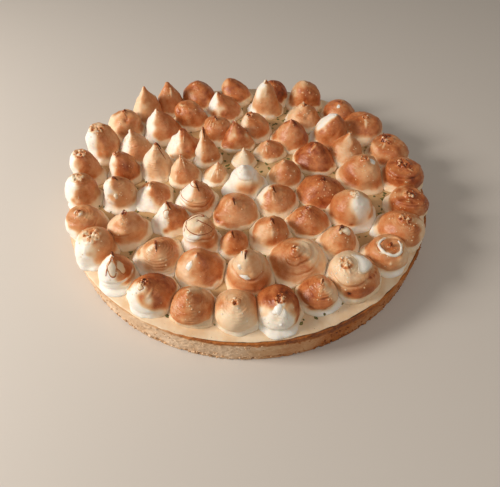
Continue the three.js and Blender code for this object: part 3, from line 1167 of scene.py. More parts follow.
@dataclass
class MeringueDrop:
    """One piped drop: its smooth form, pressed flat by its neighbours, with its relief and its toasting."""

    form: DropForm
    look: Look
    walls: list[tuple[np.ndarray, float]]  # directions, and how far the drop reaches in them
    seed: int
    rings: int = 56
    sides: int = 84
    crowding: float = 1.3  # how much closer the rings are near the tip
    sunk: float = 0.6  # how far the foot sits in the cream
    # The foot's profile: shares of the body's radius, and of the foot's height.
    foot_rows: Rows = ((1.25, 0.0), (1.19, 0.32), (1.08, 0.66), (1.0, 1.05))
    brim: float = 4.0  # height of the foot
    brim_share: float = 0.26  # the most that the foot takes up of the drop's height
    blend: float = 1.5  # where the body's own form starts, as a share of the foot's height
    cap_depth: float = 1.3  # how far below the tip a broken tip meets the body
    cap_room: float = 1.15  # how much wider the body is there
    press: float = 0.4  # rounding of the pressed edges
    widest_reach: float = 121.6  # from the middle of the pie
    tuck: float = 0.25  # how much less the foot spreads towards the rim, as a share of the body's radius
    outer_ring: float = 92.0  # drops beyond this are tucked in
    foot_tint_and_warm_shade: float = 0.22  # how much warmer the raw foot is painted: partly the cream's colour through it, partly painted warm bounced shade
    lumps: tuple[Layer, ...] = ((1.5, 9.0, 0), (0.7, 3.8, 1))
    skin: tuple[Layer, ...] = ((0.09, 1.3, 3),)
    foot_waves: tuple[Layer, ...] = ((1.3, 6.0, 4),)
    wave_band: Pair = (3.6, 0.0)  # heights where the foot's waves start, and are full
    tuck_spread: float = 75.0  # to each side of the way to the rim, in degrees
    tuck_band: Pair = (5.0, 0.5)  # heights where the tuck starts, and is full
    bubbles: tuple[Spots, Spots] = ((-0.1, 0.5, 6.0, 17), (0.25, 0.85, 2.1, 18))  # in clusters
    bubble_height: float = 0.3
    piping_depth: float = 0.15
    piping_pitch: float = 1.6
    piping_shift: Pair = (0.5, 0.45)  # how far its rings wander, evenly and randomly
    piping_spots: Spots = (-0.5, 0.6, 4.0, 2)  # where the rings show
    piping_end: Pair = (0.95, 0.8)  # where they fade out towards the tip
    sway: float = 0.018  # how far from round it is, as a share of its radius
    wobble: float = 1.6  # how far its axis wanders
    mark_radius: float = 0.6  # the least radius that marks are measured round
    drape_radius: float = 1.4  # the same, for what is laid on the drop
    soft_edge: Pair = (15.0, 14.0)  # of a side, outward and inward, in degrees
    ragged_edge: float = 17.0  # how uneven it is, in degrees
    facing: float = 0.05  # least cosine of the angle to a neighbour that holds a point back
    nearness: Pair = (1.6, 0.1)  # gaps where a neighbour starts to count, and counts fully
    foot_line: Pair = (0.6, 1.15)  # where the raw foot ends, as shares of its height
    foot_uneven: Pair = (0.9, 0.35)  # how coarsely and finely that line wanders
    mottle: Pair = (0.2, 0.12)  # how coarsely and finely the toasting varies
    deepened: float = 0.3  # how much browner a deep side is painted: toasting, and on sides away from the key light, painted shade
    sheltered: float = 0.4  # how much paler the foot is beside a neighbour
    most_toast: float = 1.08
    twin: Pair = (-3.6, 0.0)  # XY of the white curl, from the burnt one
    twin_height: float = 2.6
    burst_sizes: Pair = (0.45, 1.2)
    open_share: float = 0.3  # how many bubbles of a broken tip have burst
    bead_share: float = 1.6  # beads tried for each that the look asks for
    bead_band: Pair = (0.3, 0.93)  # where they sit, as a share of the rings
    bead_side: Pair = (0.72, 0.13)  # where they gather round it, and how closely, in turns
    bead_sizes: Pair = (0.22, 0.6)
    thread_sides: int = 9
    strand_steps: int = 26
    strand_turn: float = 90.0  # the turn, in degrees, that counts as much as the way up
    curl_steps: int = 16
    blister_sides: int = 26
    blister_waves: Rows = ((3, 0.1), (5, 0.06))  # number and depth of its lobes
    blister_toast: float = 0.55  # of its skin where it isn't raw
    # Share of its reach, height in millimetres, share of `rise`, and how much of its burnt edge shows.
    blister_rows: Rows = (
        (0.92, -0.5, 0.0, 1.0),
        (1.04, -0.1, 0.0, 1.0),
        (1.0, 0.12, 0.0, 1.0),
        (0.9, 0.14, 0.0, 1.0),
        (0.82, 0.06, 0.1, 0.3),
        (0.66, 0.02, 0.55, 0.0),
        (0.44, 0.0, 0.85, 0.0),
        (0.2, 0.0, 1.0, 0.0),
    )

    def __post_init__(self) -> None:
        """Lays out the profile and the grid of the surface."""
        self.random = np.random.default_rng(self.seed)
        form = self.form
        self.cap = min(self.look.cap, self.width_at(form.height - self.cap_depth) / self.cap_room)
        self.foot_height = min(self.brim, self.brim_share * form.height)
        shares = 1.0 - (1.0 - np.linspace(0.0, 1.0, self.rings + 1)) ** self.crowding
        profile, self.length = smooth_path(self.guides(), shares)
        slope = np.gradient(profile, shares, axis=0)
        slope /= norms(slope)[:, None]
        self.along = shares[:-1, None]
        self.angle = turns(self.sides)[None, :]
        self.radius = profile[:-1, 0:1]
        self.rise = profile[:-1, 1:2]
        self.below = form.height - self.rise
        self.out, self.up = slope[:-1, 1:2], -slope[:-1, 0:1]
        self.outward = heading(self.angle)
        full = (self.rings, self.sides)
        self.relief, self.lift, self.flare = np.zeros((3, *full))
        self.gloss, self.raw_and_highlight, self.scorch = np.zeros((3, *full))
        self.smooth = turned(profile[:-1], self.sides)
        self.smooth[..., :2] += form.foot
        upward = np.broadcast_to(self.up[..., None], (*full, 1))
        self.normal = np.concatenate([self.out[..., None] * self.outward, upward], axis=-1)

    def width_at(self, rise: float) -> float:
        """The body's radius at a height above the foot."""
        levels = np.append(self.form.levels, [[self.form.height, 0.0]], axis=0)
        return float(np.interp(rise, levels[:, 0], levels[:, 1]))

    def guides(self) -> np.ndarray:
        """The points that the profile passes through, with the foot and the tip added.

        Returns:
            Rows of radius and height, from the foot up.
        """
        tall, wide, brim = self.form.height, self.form.radius, self.foot_height
        start = [(share * wide, rise * brim) for share, rise in self.foot_rows]
        below = 0.0
        end = [(0.0, tall), (-self.form.levels[-1, 1], self.form.levels[-1, 0])]
        if self.look.tip in ENDINGS:
            ending = ENDINGS[self.look.tip]
            below = ending.below
            size = self.cap if self.look.tip is Tip.BROKEN else wide
            end = [(share * size, tall - depth) for share, depth in ending.rows]
        body = [(reach, rise) for rise, reach in self.form.levels if self.blend * brim < rise < tall - below]
        return np.array([(start[0][0], -1.0), *start, *body, *end])

    def grain(self, pitch: float, number: int) -> np.ndarray:
        """Random relief over the drop, from -1 to 1."""
        return grain(self.smooth, pitch, self.seed + number)

    def patches_of(self, low: float, high: float, pitch: float, number: int) -> np.ndarray:
        """Random patches over the drop, from 0 to 1, with edges between two levels of its grain."""
        return smoothstep(low, high, self.grain(pitch, number))

    def window(self, bearing: float, spread: float) -> np.ndarray:
        """A soft window on one side of the drop, `spread` degrees wide each way."""
        return bell(np.degrees(turned_by(self.angle, bearing)), spread)

    def whiten(self, amount: np.ndarray) -> None:
        """Makes the drop at least this pale: raw meringue, and painted highlights."""
        self.raw_and_highlight = np.maximum(self.raw_and_highlight, amount)

    def polish(self, amount: np.ndarray) -> None:
        """Makes the drop at least this glossy."""
        self.gloss = np.maximum(self.gloss, amount)

    def shape_body(self) -> None:
        """Low unevenness, piping rings, and a foot of uneven width."""
        self.relief += self.look.lumps * layered(self.smooth, self.lumps, self.seed)
        self.relief += layered(self.smooth, self.skin, self.seed)
        clusters, bubbles = (self.patches_of(*spots) for spots in self.bubbles)
        self.relief += self.bubble_height * (clusters * bubbles)
        foot_waves = layered(self.smooth, self.foot_waves, self.seed)
        self.flare += foot_waves * smoothstep(*self.wave_band, self.rise)
        if np.linalg.norm(self.form.foot) > self.outer_ring:
            rimward = math.degrees(math.atan2(self.form.foot[1], self.form.foot[0]))
            tucked = self.window(rimward, self.tuck_spread) * smoothstep(*self.tuck_band, self.rise)
            self.flare -= self.tuck * self.form.radius * tucked
        even, random = self.piping_shift
        phase = even * np.sin(self.angle + self.seed) + random * self.grain(5.0, 19)
        waves = np.sin(math.tau * (self.along * self.length + phase) / self.piping_pitch)
        strength = self.patches_of(*self.piping_spots) * smoothstep(*self.piping_end, self.along)
        self.relief += self.piping_depth * self.look.ridges * waves * strength

    def offsets(self, mark: Streak | Lobe) -> tuple[np.ndarray, np.ndarray]:
        """How far each point is from the middle of a mark.

        Args:
            mark: The mark.

        Returns:
            Millimetres across it and along it.
        """
        across = turned_by(self.angle, mark.bearing) * np.maximum(self.radius, self.mark_radius)
        down = (self.along - mark.up) * self.length
        slant = math.radians(getattr(mark, "slant", 0.0))
        cosine, sine = math.cos(slant), math.sin(slant)
        return across * cosine - down * sine, across * sine + down * cosine

    def add_streak(self, mark: Streak) -> None:
        """A smooth pale ridge, partly a painted highlight.

        Args:
            mark: Its place and size.
        """
        across, down = self.offsets(mark)
        inside = smoothstep(1.4, 0.5, np.hypot(across / (0.5 * mark.width), down / (0.5 * mark.length)))
        self.relief += mark.rise * inside
        # painted pale and glossy: partly raw meringue, partly a painted highlight
        self.whiten(0.6 * mark.white * inside)
        self.polish(inside)

    def add_step(self, mark: Step) -> None:
        """A crease with the top bulging over it.

        Args:
            mark: Its place and depth.
        """
        flat = self.smooth * (1.0, 1.0, 0.0)
        wander = 0.7 * np.sin(2.0 * self.angle + self.seed) + 0.6 * grain(flat, 4.0, self.seed)
        wander = wander + 0.25 * grain(flat, 1.6, self.seed + 8)
        above = (self.along - mark.up) * self.length + wander
        away = np.degrees(np.abs(turned_by(self.angle, mark.bearing)))
        window = smoothstep(mark.spread + 12.0, mark.spread - 25.0, away) if mark.spread < 170.0 else 1.0
        window = window * (0.65 + 0.45 * grain(flat, 5.0, self.seed + 9))
        bulge = smoothstep(-0.1, 0.9, above) * smoothstep(4.5, 1.0, above)
        self.relief += mark.depth * window * (0.9 * bulge - 0.8 * bell(above + 0.35, 0.5))
        self.relief -= mark.shrink * smoothstep(-0.6, 0.6, above) * smoothstep(1.0, 0.8, self.along)
        # the crease is painted darker, partly as painted shade
        self.scorch += mark.dark * window * bell(above, 0.4)
        ledge = smoothstep(-1.9, -1.0, above) * smoothstep(0.1, -0.4, above)
        self.whiten(mark.white * ledge * np.clip(1.6 * window, 0.0, 1.0) * self.patches_of(-0.6, 0.1, 3.0, 7))

    def add_lobe(self, mark: Lobe) -> None:
        """A soft bulge or dent.

        Args:
            mark: Its place and size.
        """
        inside = bell(np.hypot(*self.offsets(mark)), 0.6 * mark.size)
        self.relief += mark.rise * inside
        # browner in the lobe; in a dent, partly painted shade
        self.scorch += mark.toast * inside

    def add_skirt(self, mark: Skirt) -> None:
        """A foot that has spread to one side.

        Args:
            mark: Its side and reach.
        """
        window = self.window(mark.bearing, mark.spread)
        self.flare += mark.reach * window * smoothstep(2.2, 0.2, self.rise)
        self.whiten(window * smoothstep(2.4, 1.2, self.rise))

    def add_tip(self) -> None:
        """The end of the drop, and how it is burnt."""
        tip, below = self.look.tip, self.below
        ring = np.broadcast_to(self.radius, self.relief.shape)
        spot = self.radius[..., None] * self.outward
        if tip is Tip.BROKEN:
            self.add_burst(spot, smoothstep(3.0, 1.6, below) * smoothstep(1.25 * self.cap, self.cap, ring))
        elif tip is Tip.RING:
            wide = 2.1 + 0.5 * np.sin(2.0 * self.angle + self.seed) + 0.3 * np.sin(3.0 * self.angle)
            uneven = 0.7 + 0.4 * np.sin(self.angle + self.seed)
            rim = bell(ring - wide, 0.6) * smoothstep(2.5, 1.0, below) * uneven
            self.lift += 0.5 * rim - 0.5 * bell(ring, 1.1)
            self.scorch += 0.35 * bell(ring, 1.0) + 0.15 * rim
            self.polish(0.5 * rim)
        elif tip is Tip.PEAK:
            self.scorch += 0.16 * smoothstep(1.2, 0.2, below)
        elif tip in CURLED:
            self.scorch += 0.3 * smoothstep(2.6, 1.2, below) * smoothstep(2.0, 0.5, ring)
        if tip is Tip.TWIN:
            second = bell(norms(spot - np.array(self.twin)), 1.1)
            self.lift += self.twin_height * second
            self.whiten(second)

    def add_burst(self, spot: np.ndarray, inside: np.ndarray) -> None:
        """A rough top of small bubbles, some of them open.

        Args:
            spot: XY of each point from the tip's middle.
            inside: How much each point belongs to the top, from 0 to 1.
        """
        lid = self.look.lid
        self.lift += 0.45 * inside * self.grain(2.2, 5)
        self.scorch += 0.12 * inside * self.patches_of(-0.2, 0.7, 1.5, 6)
        self.polish(0.8 * inside)
        # pale patches on the top, partly painted glints
        self.whiten(lid * inside * self.patches_of(-0.4, 0.2, 2.0, 13))
        edge = bell(norms(spot) / self.cap - 1.12 + 0.1 * self.grain(3.0, 0), 0.1)
        self.scorch += 0.3 * lid * edge * self.patches_of(-0.5, 0.4, 4.0, 14)
        for _ in range(self.look.burst):
            turn = self.random.uniform(0.0, math.tau)
            middle = self.cap * math.sqrt(self.random.uniform(0.0, 0.95)) * heading(turn)
            size = self.random.uniform(*self.burst_sizes)
            away = norms(spot - middle) / size
            dome = np.sqrt(np.clip(1.0 - away**2, 0.0, 1.0)) * inside
            if self.random.random() < self.open_share:
                self.lift -= 0.6 * size * dome
                self.scorch += 0.24 * smoothstep(0.9, 0.3, away) * inside
                self.raw_and_highlight *= 1.0 - 0.8 * smoothstep(1.1, 0.7, away)
            else:
                self.lift += 0.5 * size * dome
                # closed bubbles painted pale, partly as painted glints
                self.whiten(self.random.uniform(0.1, 0.8) * smoothstep(0.95, 0.6, away) * inside)
            self.scorch += 0.13 * bell(away - 1.05, 0.22) * inside

    def toward(self, face: Face, wobble: np.ndarray) -> np.ndarray:
        """How much each point belongs to a side of the drop.

        Args:
            face: The side.
            wobble: Unevenness of its edge.

        Returns:
            Numbers from 0 to 1.
        """
        rise = math.radians(face.rise)
        way = np.append(math.cos(rise) * heading(math.radians(face.bearing)), math.sin(rise))
        angle = np.degrees(np.arccos(np.clip(self.normal @ way, -1.0, 1.0)))
        outward, inward = self.soft_edge
        return smoothstep(face.spread + outward, face.spread - inward, angle + self.ragged_edge * wobble)

    def pressed(self, reach: np.ndarray, axis: np.ndarray) -> tuple[np.ndarray, np.ndarray]:
        """Flattens the drop against its neighbours.

        Args:
            reach: How far each point is from the drop's leaning axis.
            axis: The axis, as XY from the foot's middle, at each height.

        Returns:
            The new reach, and how near each point is to a neighbour, from 0 to 1.
        """
        room = np.full(reach.shape, np.inf)
        for direction, limit in self.walls:
            slope = self.outward @ direction
            bound = (limit - axis @ direction) / np.maximum(slope, self.facing)
            room = np.where(slope > self.facing, np.minimum(room, bound), room)
        held = -self.press * np.logaddexp(-reach / self.press, -room / self.press)
        return np.maximum(held, 0.0), smoothstep(*self.nearness, room - reach)

    def toasting(self, near: np.ndarray) -> np.ndarray:
        """How toasted each point is, with some painted light and shade mixed in.

        Args:
            near: How near each point is to a neighbour.

        Returns:
            Numbers from 0, raw, to 1.08, burnt.
        """
        look = self.look
        wobble, fine = self.grain(4.5, 11), self.grain(1.6, 12)
        brim = self.foot_height * look.foot
        start, end = (share * brim for share in self.foot_line)
        edge = self.rise + self.foot_uneven[0] * wobble + self.foot_uneven[1] * fine
        toast = look.toast * smoothstep(start, end, edge) * (0.88 + 0.16 * self.along)
        toast = toast * (1.0 + self.mottle[0] * wobble + self.mottle[1] * fine)
        # the foot is tinted warm, partly as painted warm shade from light bounced off the cream
        toast = toast + self.foot_tint_and_warm_shade * smoothstep(1.2 * brim, 0.7 * brim, edge)
        # paler on the side towards the key light and browner away from it: toasting, partly painted light and
        # shade
        if look.pale:
            toast = toast * (1.0 - look.pale.strength * self.toward(look.pale, wobble))
        if look.deep:
            browned = self.toward(look.deep, wobble) * smoothstep(start, 1.3 * brim, edge)
            toast = toast + self.deepened * look.deep.strength * browned
        toast = toast * (1.0 - self.sheltered * near * smoothstep(0.6, 0.3, self.rise / self.form.height))
        return np.clip((toast + self.scorch) * (1.0 - self.raw_and_highlight), 0.0, self.most_toast)

    def body(self) -> Patch:
        """Builds the drop's own surface.

        Returns:
            The closed surface, painted with `toast`, `gloss` and `ridges`.
        """
        form = self.form
        self.shape_body()
        adders = {Streak: self.add_streak, Step: self.add_step, Lobe: self.add_lobe, Skirt: self.add_skirt}
        for mark in self.look.marks:
            if type(mark) in adders:
                adders[type(mark)](mark)
        self.add_tip()
        fade = smoothstep(0.0, 1.2, self.radius)
        reach = self.radius + self.relief * self.out * fade + self.flare
        share = self.rise / form.height
        sway = np.sin(2.0 * self.angle + self.seed) + np.sin(3.0 * self.angle - 2.0 * self.seed)
        bend = np.concatenate([np.sin(4.0 * share + self.seed), np.cos(3.0 * share + self.seed)], axis=-1)
        axis = form.lean * share**2 + self.wobble * share * (1.0 - share) * bend
        axis = axis[:, None, :] * np.ones((1, self.sides, 1))
        held, near = self.pressed(reach * (1.0 + self.sway * sway), axis)
        places = np.empty((self.rings, self.sides, 3))
        places[..., :2] = form.foot + axis + held[..., None] * self.outward
        places[..., 2] = form.base + self.rise + self.relief * self.up * fade + self.lift
        out = np.linalg.norm(places[..., :2], axis=-1, keepdims=True)
        places[..., :2] *= np.minimum(1.0, self.widest_reach / out)
        ridges = self.look.ridges * (1.0 - self.gloss)
        self.places = places
        self.paint = {"toast": self.toasting(near), "gloss": np.clip(self.gloss, 0.0, 1.0), "ridges": ridges}
        self.top = places[-1].mean(axis=0)
        under = places[:1].copy()
        under[..., 2] = form.base - self.sunk
        paint = {name: np.concatenate([values[:1], values]) for name, values in self.paint.items()}
        bottom = (*form.foot, form.base - self.sunk)
        return round_patch(np.concatenate([under, places]), bottom, self.top, paint)

    def drape(
        self, bearing: float | np.ndarray, up: float | np.ndarray, across: np.ndarray, down: np.ndarray
    ) -> tuple[np.ndarray, np.ndarray]:
        """Finds places on the built surface.

        Args:
            bearing: Where the middle is, in degrees.
            up: The same, as a share of the way from the foot to the tip.
            across: Offsets round the drop, in millimetres.
            down: Offsets towards the tip, in millimetres.

        Returns:
            The places, and the ways that the surface faces there.
        """
        share = np.clip(up + down / self.length, 0.0, 1.0)
        ring = np.clip((1.0 - (1.0 - share) ** (1.0 / self.crowding)) * self.rings, 0.0, self.rings - 1.001)
        low = ring.astype(int)
        radius = np.maximum(self.radius[low, 0], self.drape_radius)
        side = (np.radians(bearing) + across / radius) / math.tau * self.sides
        left = np.floor(side).astype(int)
        rise, turn = (ring - low)[..., None], (side - left)[..., None]

        found = []
        for grid in (self.places, self.normal):
            rows = [
                grid[row, left % self.sides] * (1.0 - turn) + grid[row, (left + 1) % self.sides] * turn
                for row in (low, low + 1)
            ]
            found.append(rows[0] * (1.0 - rise) + rows[1] * rise)
        return found[0], found[1]

    def blister(self, mark: Blister) -> Patch:
        """A bubble of skin that follows the surface.

        Args:
            mark: Its place and size.

        Returns:
            Its closed surface.
        """
        reach, height, domed, edge = np.array(self.blister_rows).T[..., None]
        angle = turns(self.blister_sides)
        uneven = 1.0 + 0.12 * np.sin(2 * angle + self.random.uniform(0.0, 6.0))
        for lobes, depth in self.blister_waves:
            uneven = uneven + depth * np.sin(lobes * angle + (lobes // 2) * self.seed)
        across = 0.5 * mark.width * reach * uneven * np.cos(angle)
        down = 0.5 * mark.length * reach * uneven * np.sin(angle)
        places, ways = self.drape(mark.bearing, mark.up, across, down)
        places = places + ways * (height + mark.rise * domed)[..., None]
        burnt = edge * (0.3 + 0.7 * smoothstep(-0.7, 0.5, np.sin(angle + self.random.uniform(0.0, 6.0))))
        # the pale middle is partly a painted highlight
        inner = self.blister_toast * (1.0 - mark.white)
        paint = {
            "toast": inner + (mark.edge - inner) * burnt,
            "gloss": 1.0 - 0.3 * burnt,
            "ridges": 0.0 * burnt,
        }
        return round_patch(places, places[0].mean(axis=0), places[-1].mean(axis=0), paint)

    def thread(self, line: np.ndarray, ways: np.ndarray, radius: np.ndarray, toast: np.ndarray) -> Patch:
        """A thin round thread.

        Args:
            line: The points of its middle.
            ways: The way that its upper side faces at each point.
            radius: Its radius at each point.
            toast: How burnt it is at each point.

        Returns:
            Its closed surface.
        """
        along = np.gradient(line, axis=0)
        sideways = np.cross(along, ways)
        sideways /= norms(sideways)[:, None]
        upward = np.cross(sideways, along)
        upward /= norms(upward)[:, None]
        angle = turns(self.thread_sides)[:, None]
        around = np.cos(angle) * sideways[:, None] + np.sin(angle) * upward[:, None]
        places = line[:, None, :] + radius[:, None, None] * around
        even = np.ones(places.shape[:2])
        paint = {"toast": toast[:, None] * even, "gloss": 0.5 * even, "ridges": 0.0 * even}
        return round_patch(places, line[0] - 0.3 * radius[0], line[-1], paint)

    def strand(self, mark: Strand) -> Patch:
        """A burnt thread over the surface.

        Args:
            mark: Its path and width.

        Returns:
            Its closed surface.
        """
        stops = np.array(mark.stops)
        guides = np.concatenate([[2.0 * stops[0] - stops[1]], stops, [2.0 * stops[-1] - stops[-2]]])
        share = np.linspace(0.0, 1.0, self.strand_steps)
        path, _ = smooth_path(guides * (1.0 / self.strand_turn, 1.0), share)
        none = np.zeros(len(share))
        places, ways = self.drape(self.strand_turn * path[:, 0], path[:, 1], none, none)
        wander = 0.12 * grain(places, 1.5, self.seed + 15)
        thick = 0.5 * mark.width * (0.25 + 0.75 * np.sqrt(np.sin(math.pi * np.clip(share, 0.02, 0.98))))
        thick = thick * (1.0 + 0.3 * grain(places, 1.2, self.seed + 16))
        line = places + ways * (mark.lift + wander)[:, None]
        return self.thread(line, ways, thick, np.full(len(share), mark.toast))

    def curl(self) -> Patch:
        """The burnt curl at the tip, which stands up a little and then hangs down.

        Returns:
            Its closed surface.
        """
        bend = self.look.bend + self.random.uniform(-25.0, 25.0)
        hang = self.look.hang * self.random.uniform(0.8, 1.2)
        out = np.append(heading(math.radians(bend)), 0.0)
        places, ways = self.drape(bend, 1.0, np.zeros(3), -np.array([0.8, 0.45 * hang, hang]))
        ground = places + ways * np.array([0.55, 0.3, -0.15])[:, None]
        upright = np.array([0.0, 0.0, 1.0])
        top = self.top + self.random.uniform(0.5, 1.2) * upright
        root = [self.top - 2.4 * upright, self.top - 1.2 * upright]
        guides = np.array([*root, top, top + 0.5 * out, *ground, 2 * ground[-1] - ground[-2]])
        share = np.linspace(0.0, 1.0, self.curl_steps)
        line, _ = smooth_path(guides, share)
        ways = np.cross((-out[1], out[0], 0.0), np.gradient(line, axis=0))
        return self.thread(line, ways, 0.9 - 0.6 * share**0.8, 0.8 + 0.3 * smoothstep(0.1, 0.5, share))

    def patches(self) -> list[Patch]:
        """The drop and what sits on it: blisters, strands and a burnt curl.

        Returns:
            Their closed surfaces.
        """
        made = [self.body()]
        made += [self.blister(mark) for mark in self.look.marks if isinstance(mark, Blister)]
        made += [self.strand(mark) for mark in self.look.marks if isinstance(mark, Strand)]
        if self.look.tip in CURLED:
            made.append(self.curl())
        return made

    def beads(self) -> list[Bead]:
        """Where small caramel beads sit on the drop.

        Returns:
            The beads.
        """
        found = []
        for _ in range(int(self.bead_share * self.look.beads) + 2):
            ring = int(self.rings * self.random.uniform(*self.bead_band))
            side = int(self.sides * (self.random.normal(*self.bead_side) % 1.0))
            size = self.random.uniform(*self.bead_sizes)
            spot = ring, side
            found.append(Bead(self.places[spot], self.normal[spot], size, self.paint["toast"][spot]))
        return found


@dataclass
class Topping:
    """All the drops, each solid replaced by its own piece, and the caramel beads on them."""

    material: bpy.types.Material
    overlap: float = 0.08  # how far drops that touch run into each other
    set_overlap: float = 0.9  # the same, for two drops of one solid
    first_seed: int = 41
    neighbourhood: float = 2.0  # how far away a neighbour's side may be, in radii of the drop
    forms: dict[str, list[DropForm]] = field(default_factory=dict)

    def __post_init__(self) -> None:
        """Reads the form of every drop."""
        self.forms = {name: drop_forms(f"drop_{name}") for name in sorted(LOOKS)}

    def all_forms(self) -> list[DropForm]:
        """Every drop's form."""
        return [form for forms in self.forms.values() for form in forms]

    def walls(self, form: DropForm, partners: Sequence[DropForm]) -> list[tuple[np.ndarray, float]]:
        """Where a drop meets its neighbours.

        Args:
            form: The drop.
            partners: The drops of the same solid.

        Returns:
            Directions, and how far the drop reaches in each.
        """
        walls = []
        for other in self.all_forms():
            if other is form:
                continue
            across = other.foot - form.foot
            distance = float(np.linalg.norm(across))
            share = form.radius / (form.radius + other.radius)
            extra = self.set_overlap if any(other is partner for partner in partners) else self.overlap
            if distance * share < self.neighbourhood * form.radius:
                walls.append((across / distance, distance * share + extra))
        return walls

    def build(self) -> list[Patch]:
        """Makes a piece for every solid, and one for the beads.

        Returns:
            The surfaces of the drops.
        """
        beads = []
        surfaces = []
        seeds = itertools.count(self.first_seed)
        for name, forms in self.forms.items():
            patches = []
            for form, look in zip(forms, LOOKS[name]):
                drop = MeringueDrop(form, look, self.walls(form, forms), next(seeds))
                patches.extend(drop.patches())
                beads.extend(bead.patch() for bead in drop.beads())
            surfaces.append(joined(patches))
            add_piece(f"meringue_{name}", surfaces[-1], self.material, [f"drop_{name}"])
        add_piece("caramel_beads", joined(beads), self.material)
        return surfaces


# ---------------- shell and cream


@dataclass
class PastryShell:
    """The shortcrust shell: a crumbly, sandy side, a browned uneven rim and a ragged foot."""

    material: bpy.types.Material
    sides: int = 1240
    wall: float = 3.0
    rim: float = 1.6  # width of the rim
    base_thickness: float = 4.0
    rim_depth: float = 5.0  # where the wall has its full thickness
    foot_rounding: float = 1.4
    side_rows: int = 32
    sunk: float = 0.595  # how far the side stands back on average
    dents: tuple[Layer, ...] = ((0.25, 5.5, 3), (0.225, 2.0, 4))
    crumb_height: float = 0.34
    foot_dents: float = 1.3
    foot_rise: float = 1.1  # how far the ragged foot stands clear of the table
    rim_dip: float = 0.245
    rim_dents: tuple[Layer, ...] = ((0.175, 6.0, 7), (0.07, 1.6, 8))
    line_waves: tuple[Layer, ...] = ((0.9, 9.0, 9), (0.5, 2.5, 10))  # of the browned edge's lower side
    line_blur: Pair = (-0.3, 1.1)  # from that line, where the brown starts, and is full
    foot_bake: float = 0.1  # how much browner the foot is
    cloudy_bake: Layer = (0.14, 12.0, 11)  # its depth is in browning, not in millimetres
    hollow_darkening: float = 0.16  # how much darker the side is painted for each millimetre that it stands back, on the same scale
    # Bearing, and there how far the browned edge runs down, its strength, and how browned the side is. From
    # bearing 280 to 335, on the side away from the key light, this brown is partly painted shade.
    browning_and_shade: Rows = (
        (0.0, 5.0, 0.3, 0.5),
        (60.0, 3.0, 0.4, 0.3),
        (150.0, 2.0, 0.3, 0.16),
        (205.0, 0.8, 0.2, 0.1),
        (246.0, 0.9, 0.3, 0.1),
        (257.0, 2.8, 0.6, 0.12),
        (269.0, 3.2, 0.64, 0.14),
        (280.0, 4.6, 0.42, 0.46),
        (294.0, 5.0, 0.2, 0.74),
        (306.0, 5.0, 0.05, 0.66),
        (335.0, 5.0, 0.05, 0.66),
        (360.0, 5.0, 0.3, 0.5),
    )

    def __post_init__(self) -> None:
        """Takes the sizes of the solid."""
        low, high = (np.array(corner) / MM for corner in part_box("shell"))
        self.height = float(high[2])
        self.radius = float(high[1] - low[1]) / 2.0
        self.stretch = float(high[0] - low[0]) / float(high[1] - low[1])

    def bands(self, bearings: float | np.ndarray) -> list[float | np.ndarray]:
        """The width and strength of the browned edge, and the tone of the side, at these bearings; on the
        side away from the key light they are partly painted shade.
        """
        known, *columns = np.array(self.browning_and_shade).T
        return [np.interp(bearings, known, column) for column in columns]

    def profile(self) -> np.ndarray:
        """The shell's section, from the middle of the underside round to the middle of the inside.

        Returns:
            Rows of radius and height.
        """
        full, height = self.radius, self.height
        side = [(full, rise) for rise in np.linspace(0.6, height - 0.6, self.side_rows)]
        inner = full - self.wall
        return np.array(
            [
                (0.3 * full, 0.0),
                (0.8 * full, 0.0),
                (full - 2.0 * self.foot_rounding, 0.0),
                (full - self.foot_rounding, 0.0),
                (full - 0.4, 0.2),
                *side,
                (full - 0.2, height - 0.2),
                (full - 0.5, height),
                (full - 1.0, height),
                (full - self.rim, height),
                (full - 0.5 * (self.rim + self.wall), height - 0.5 * self.rim_depth),
                (inner, height - self.rim_depth),
                (inner, self.base_thickness),
                (0.5 * full, self.base_thickness),
            ]
        )

    def build(self) -> None:
        """Makes the shell, in place of its solid."""
        profile = self.profile()
        radius, rise = profile[:, 0:1], profile[:, 1:2]
        places = turned(profile, self.sides)
        outer = (radius > self.radius - 1.2) * smoothstep(0.1, 0.8, rise)
        crumbs = smoothstep(0.1, 0.6, grain(places, 1.2, 5))
        ragged = smoothstep(4.5, 0.6, rise) * smoothstep(0.0, 0.55, grain(places, 2.3, 6))
        sand = self.sunk + layered(places, self.dents) - self.crumb_height * crumbs
        depth = outer * (sand + self.foot_dents * ragged)
        lip = smoothstep(self.height - 1.2, self.height, rise) * (radius > self.radius - self.rim - 0.1)
        dip = lip * (self.rim_dip + layered(places, self.rim_dents))
        under = smoothstep(self.radius - 3.5, self.radius - 1.0, radius) * (rise < 0.5)
        places[..., :2] *= (1.0 - depth / radius)[..., None]
        places[..., 0] *= self.stretch
        places[..., 2] += self.foot_rise * ragged * under - dip
        width, strength, tone = self.bands(np.degrees(turns(self.sides)))
        line = self.height - width + layered(places, self.line_waves)
        # the side's tone is browner away from the key light, partly as painted shade
        bake = tone + strength * smoothstep(*self.line_blur, rise - line)
        bake = bake + self.foot_bake * smoothstep(2.5, 0.5, rise)
        bake = bake + layered(places, [self.cloudy_bake]) + self.hollow_darkening * (depth - 0.4 * outer)
        paint = {"bake": np.clip(bake, 0.0, 1.0)}
        patch = round_patch(places, (0.0, 0.0, 0.0), (0.0, 0.0, self.base_thickness), paint)
        add_piece("pastry_shell", patch, self.material, ["shell"])


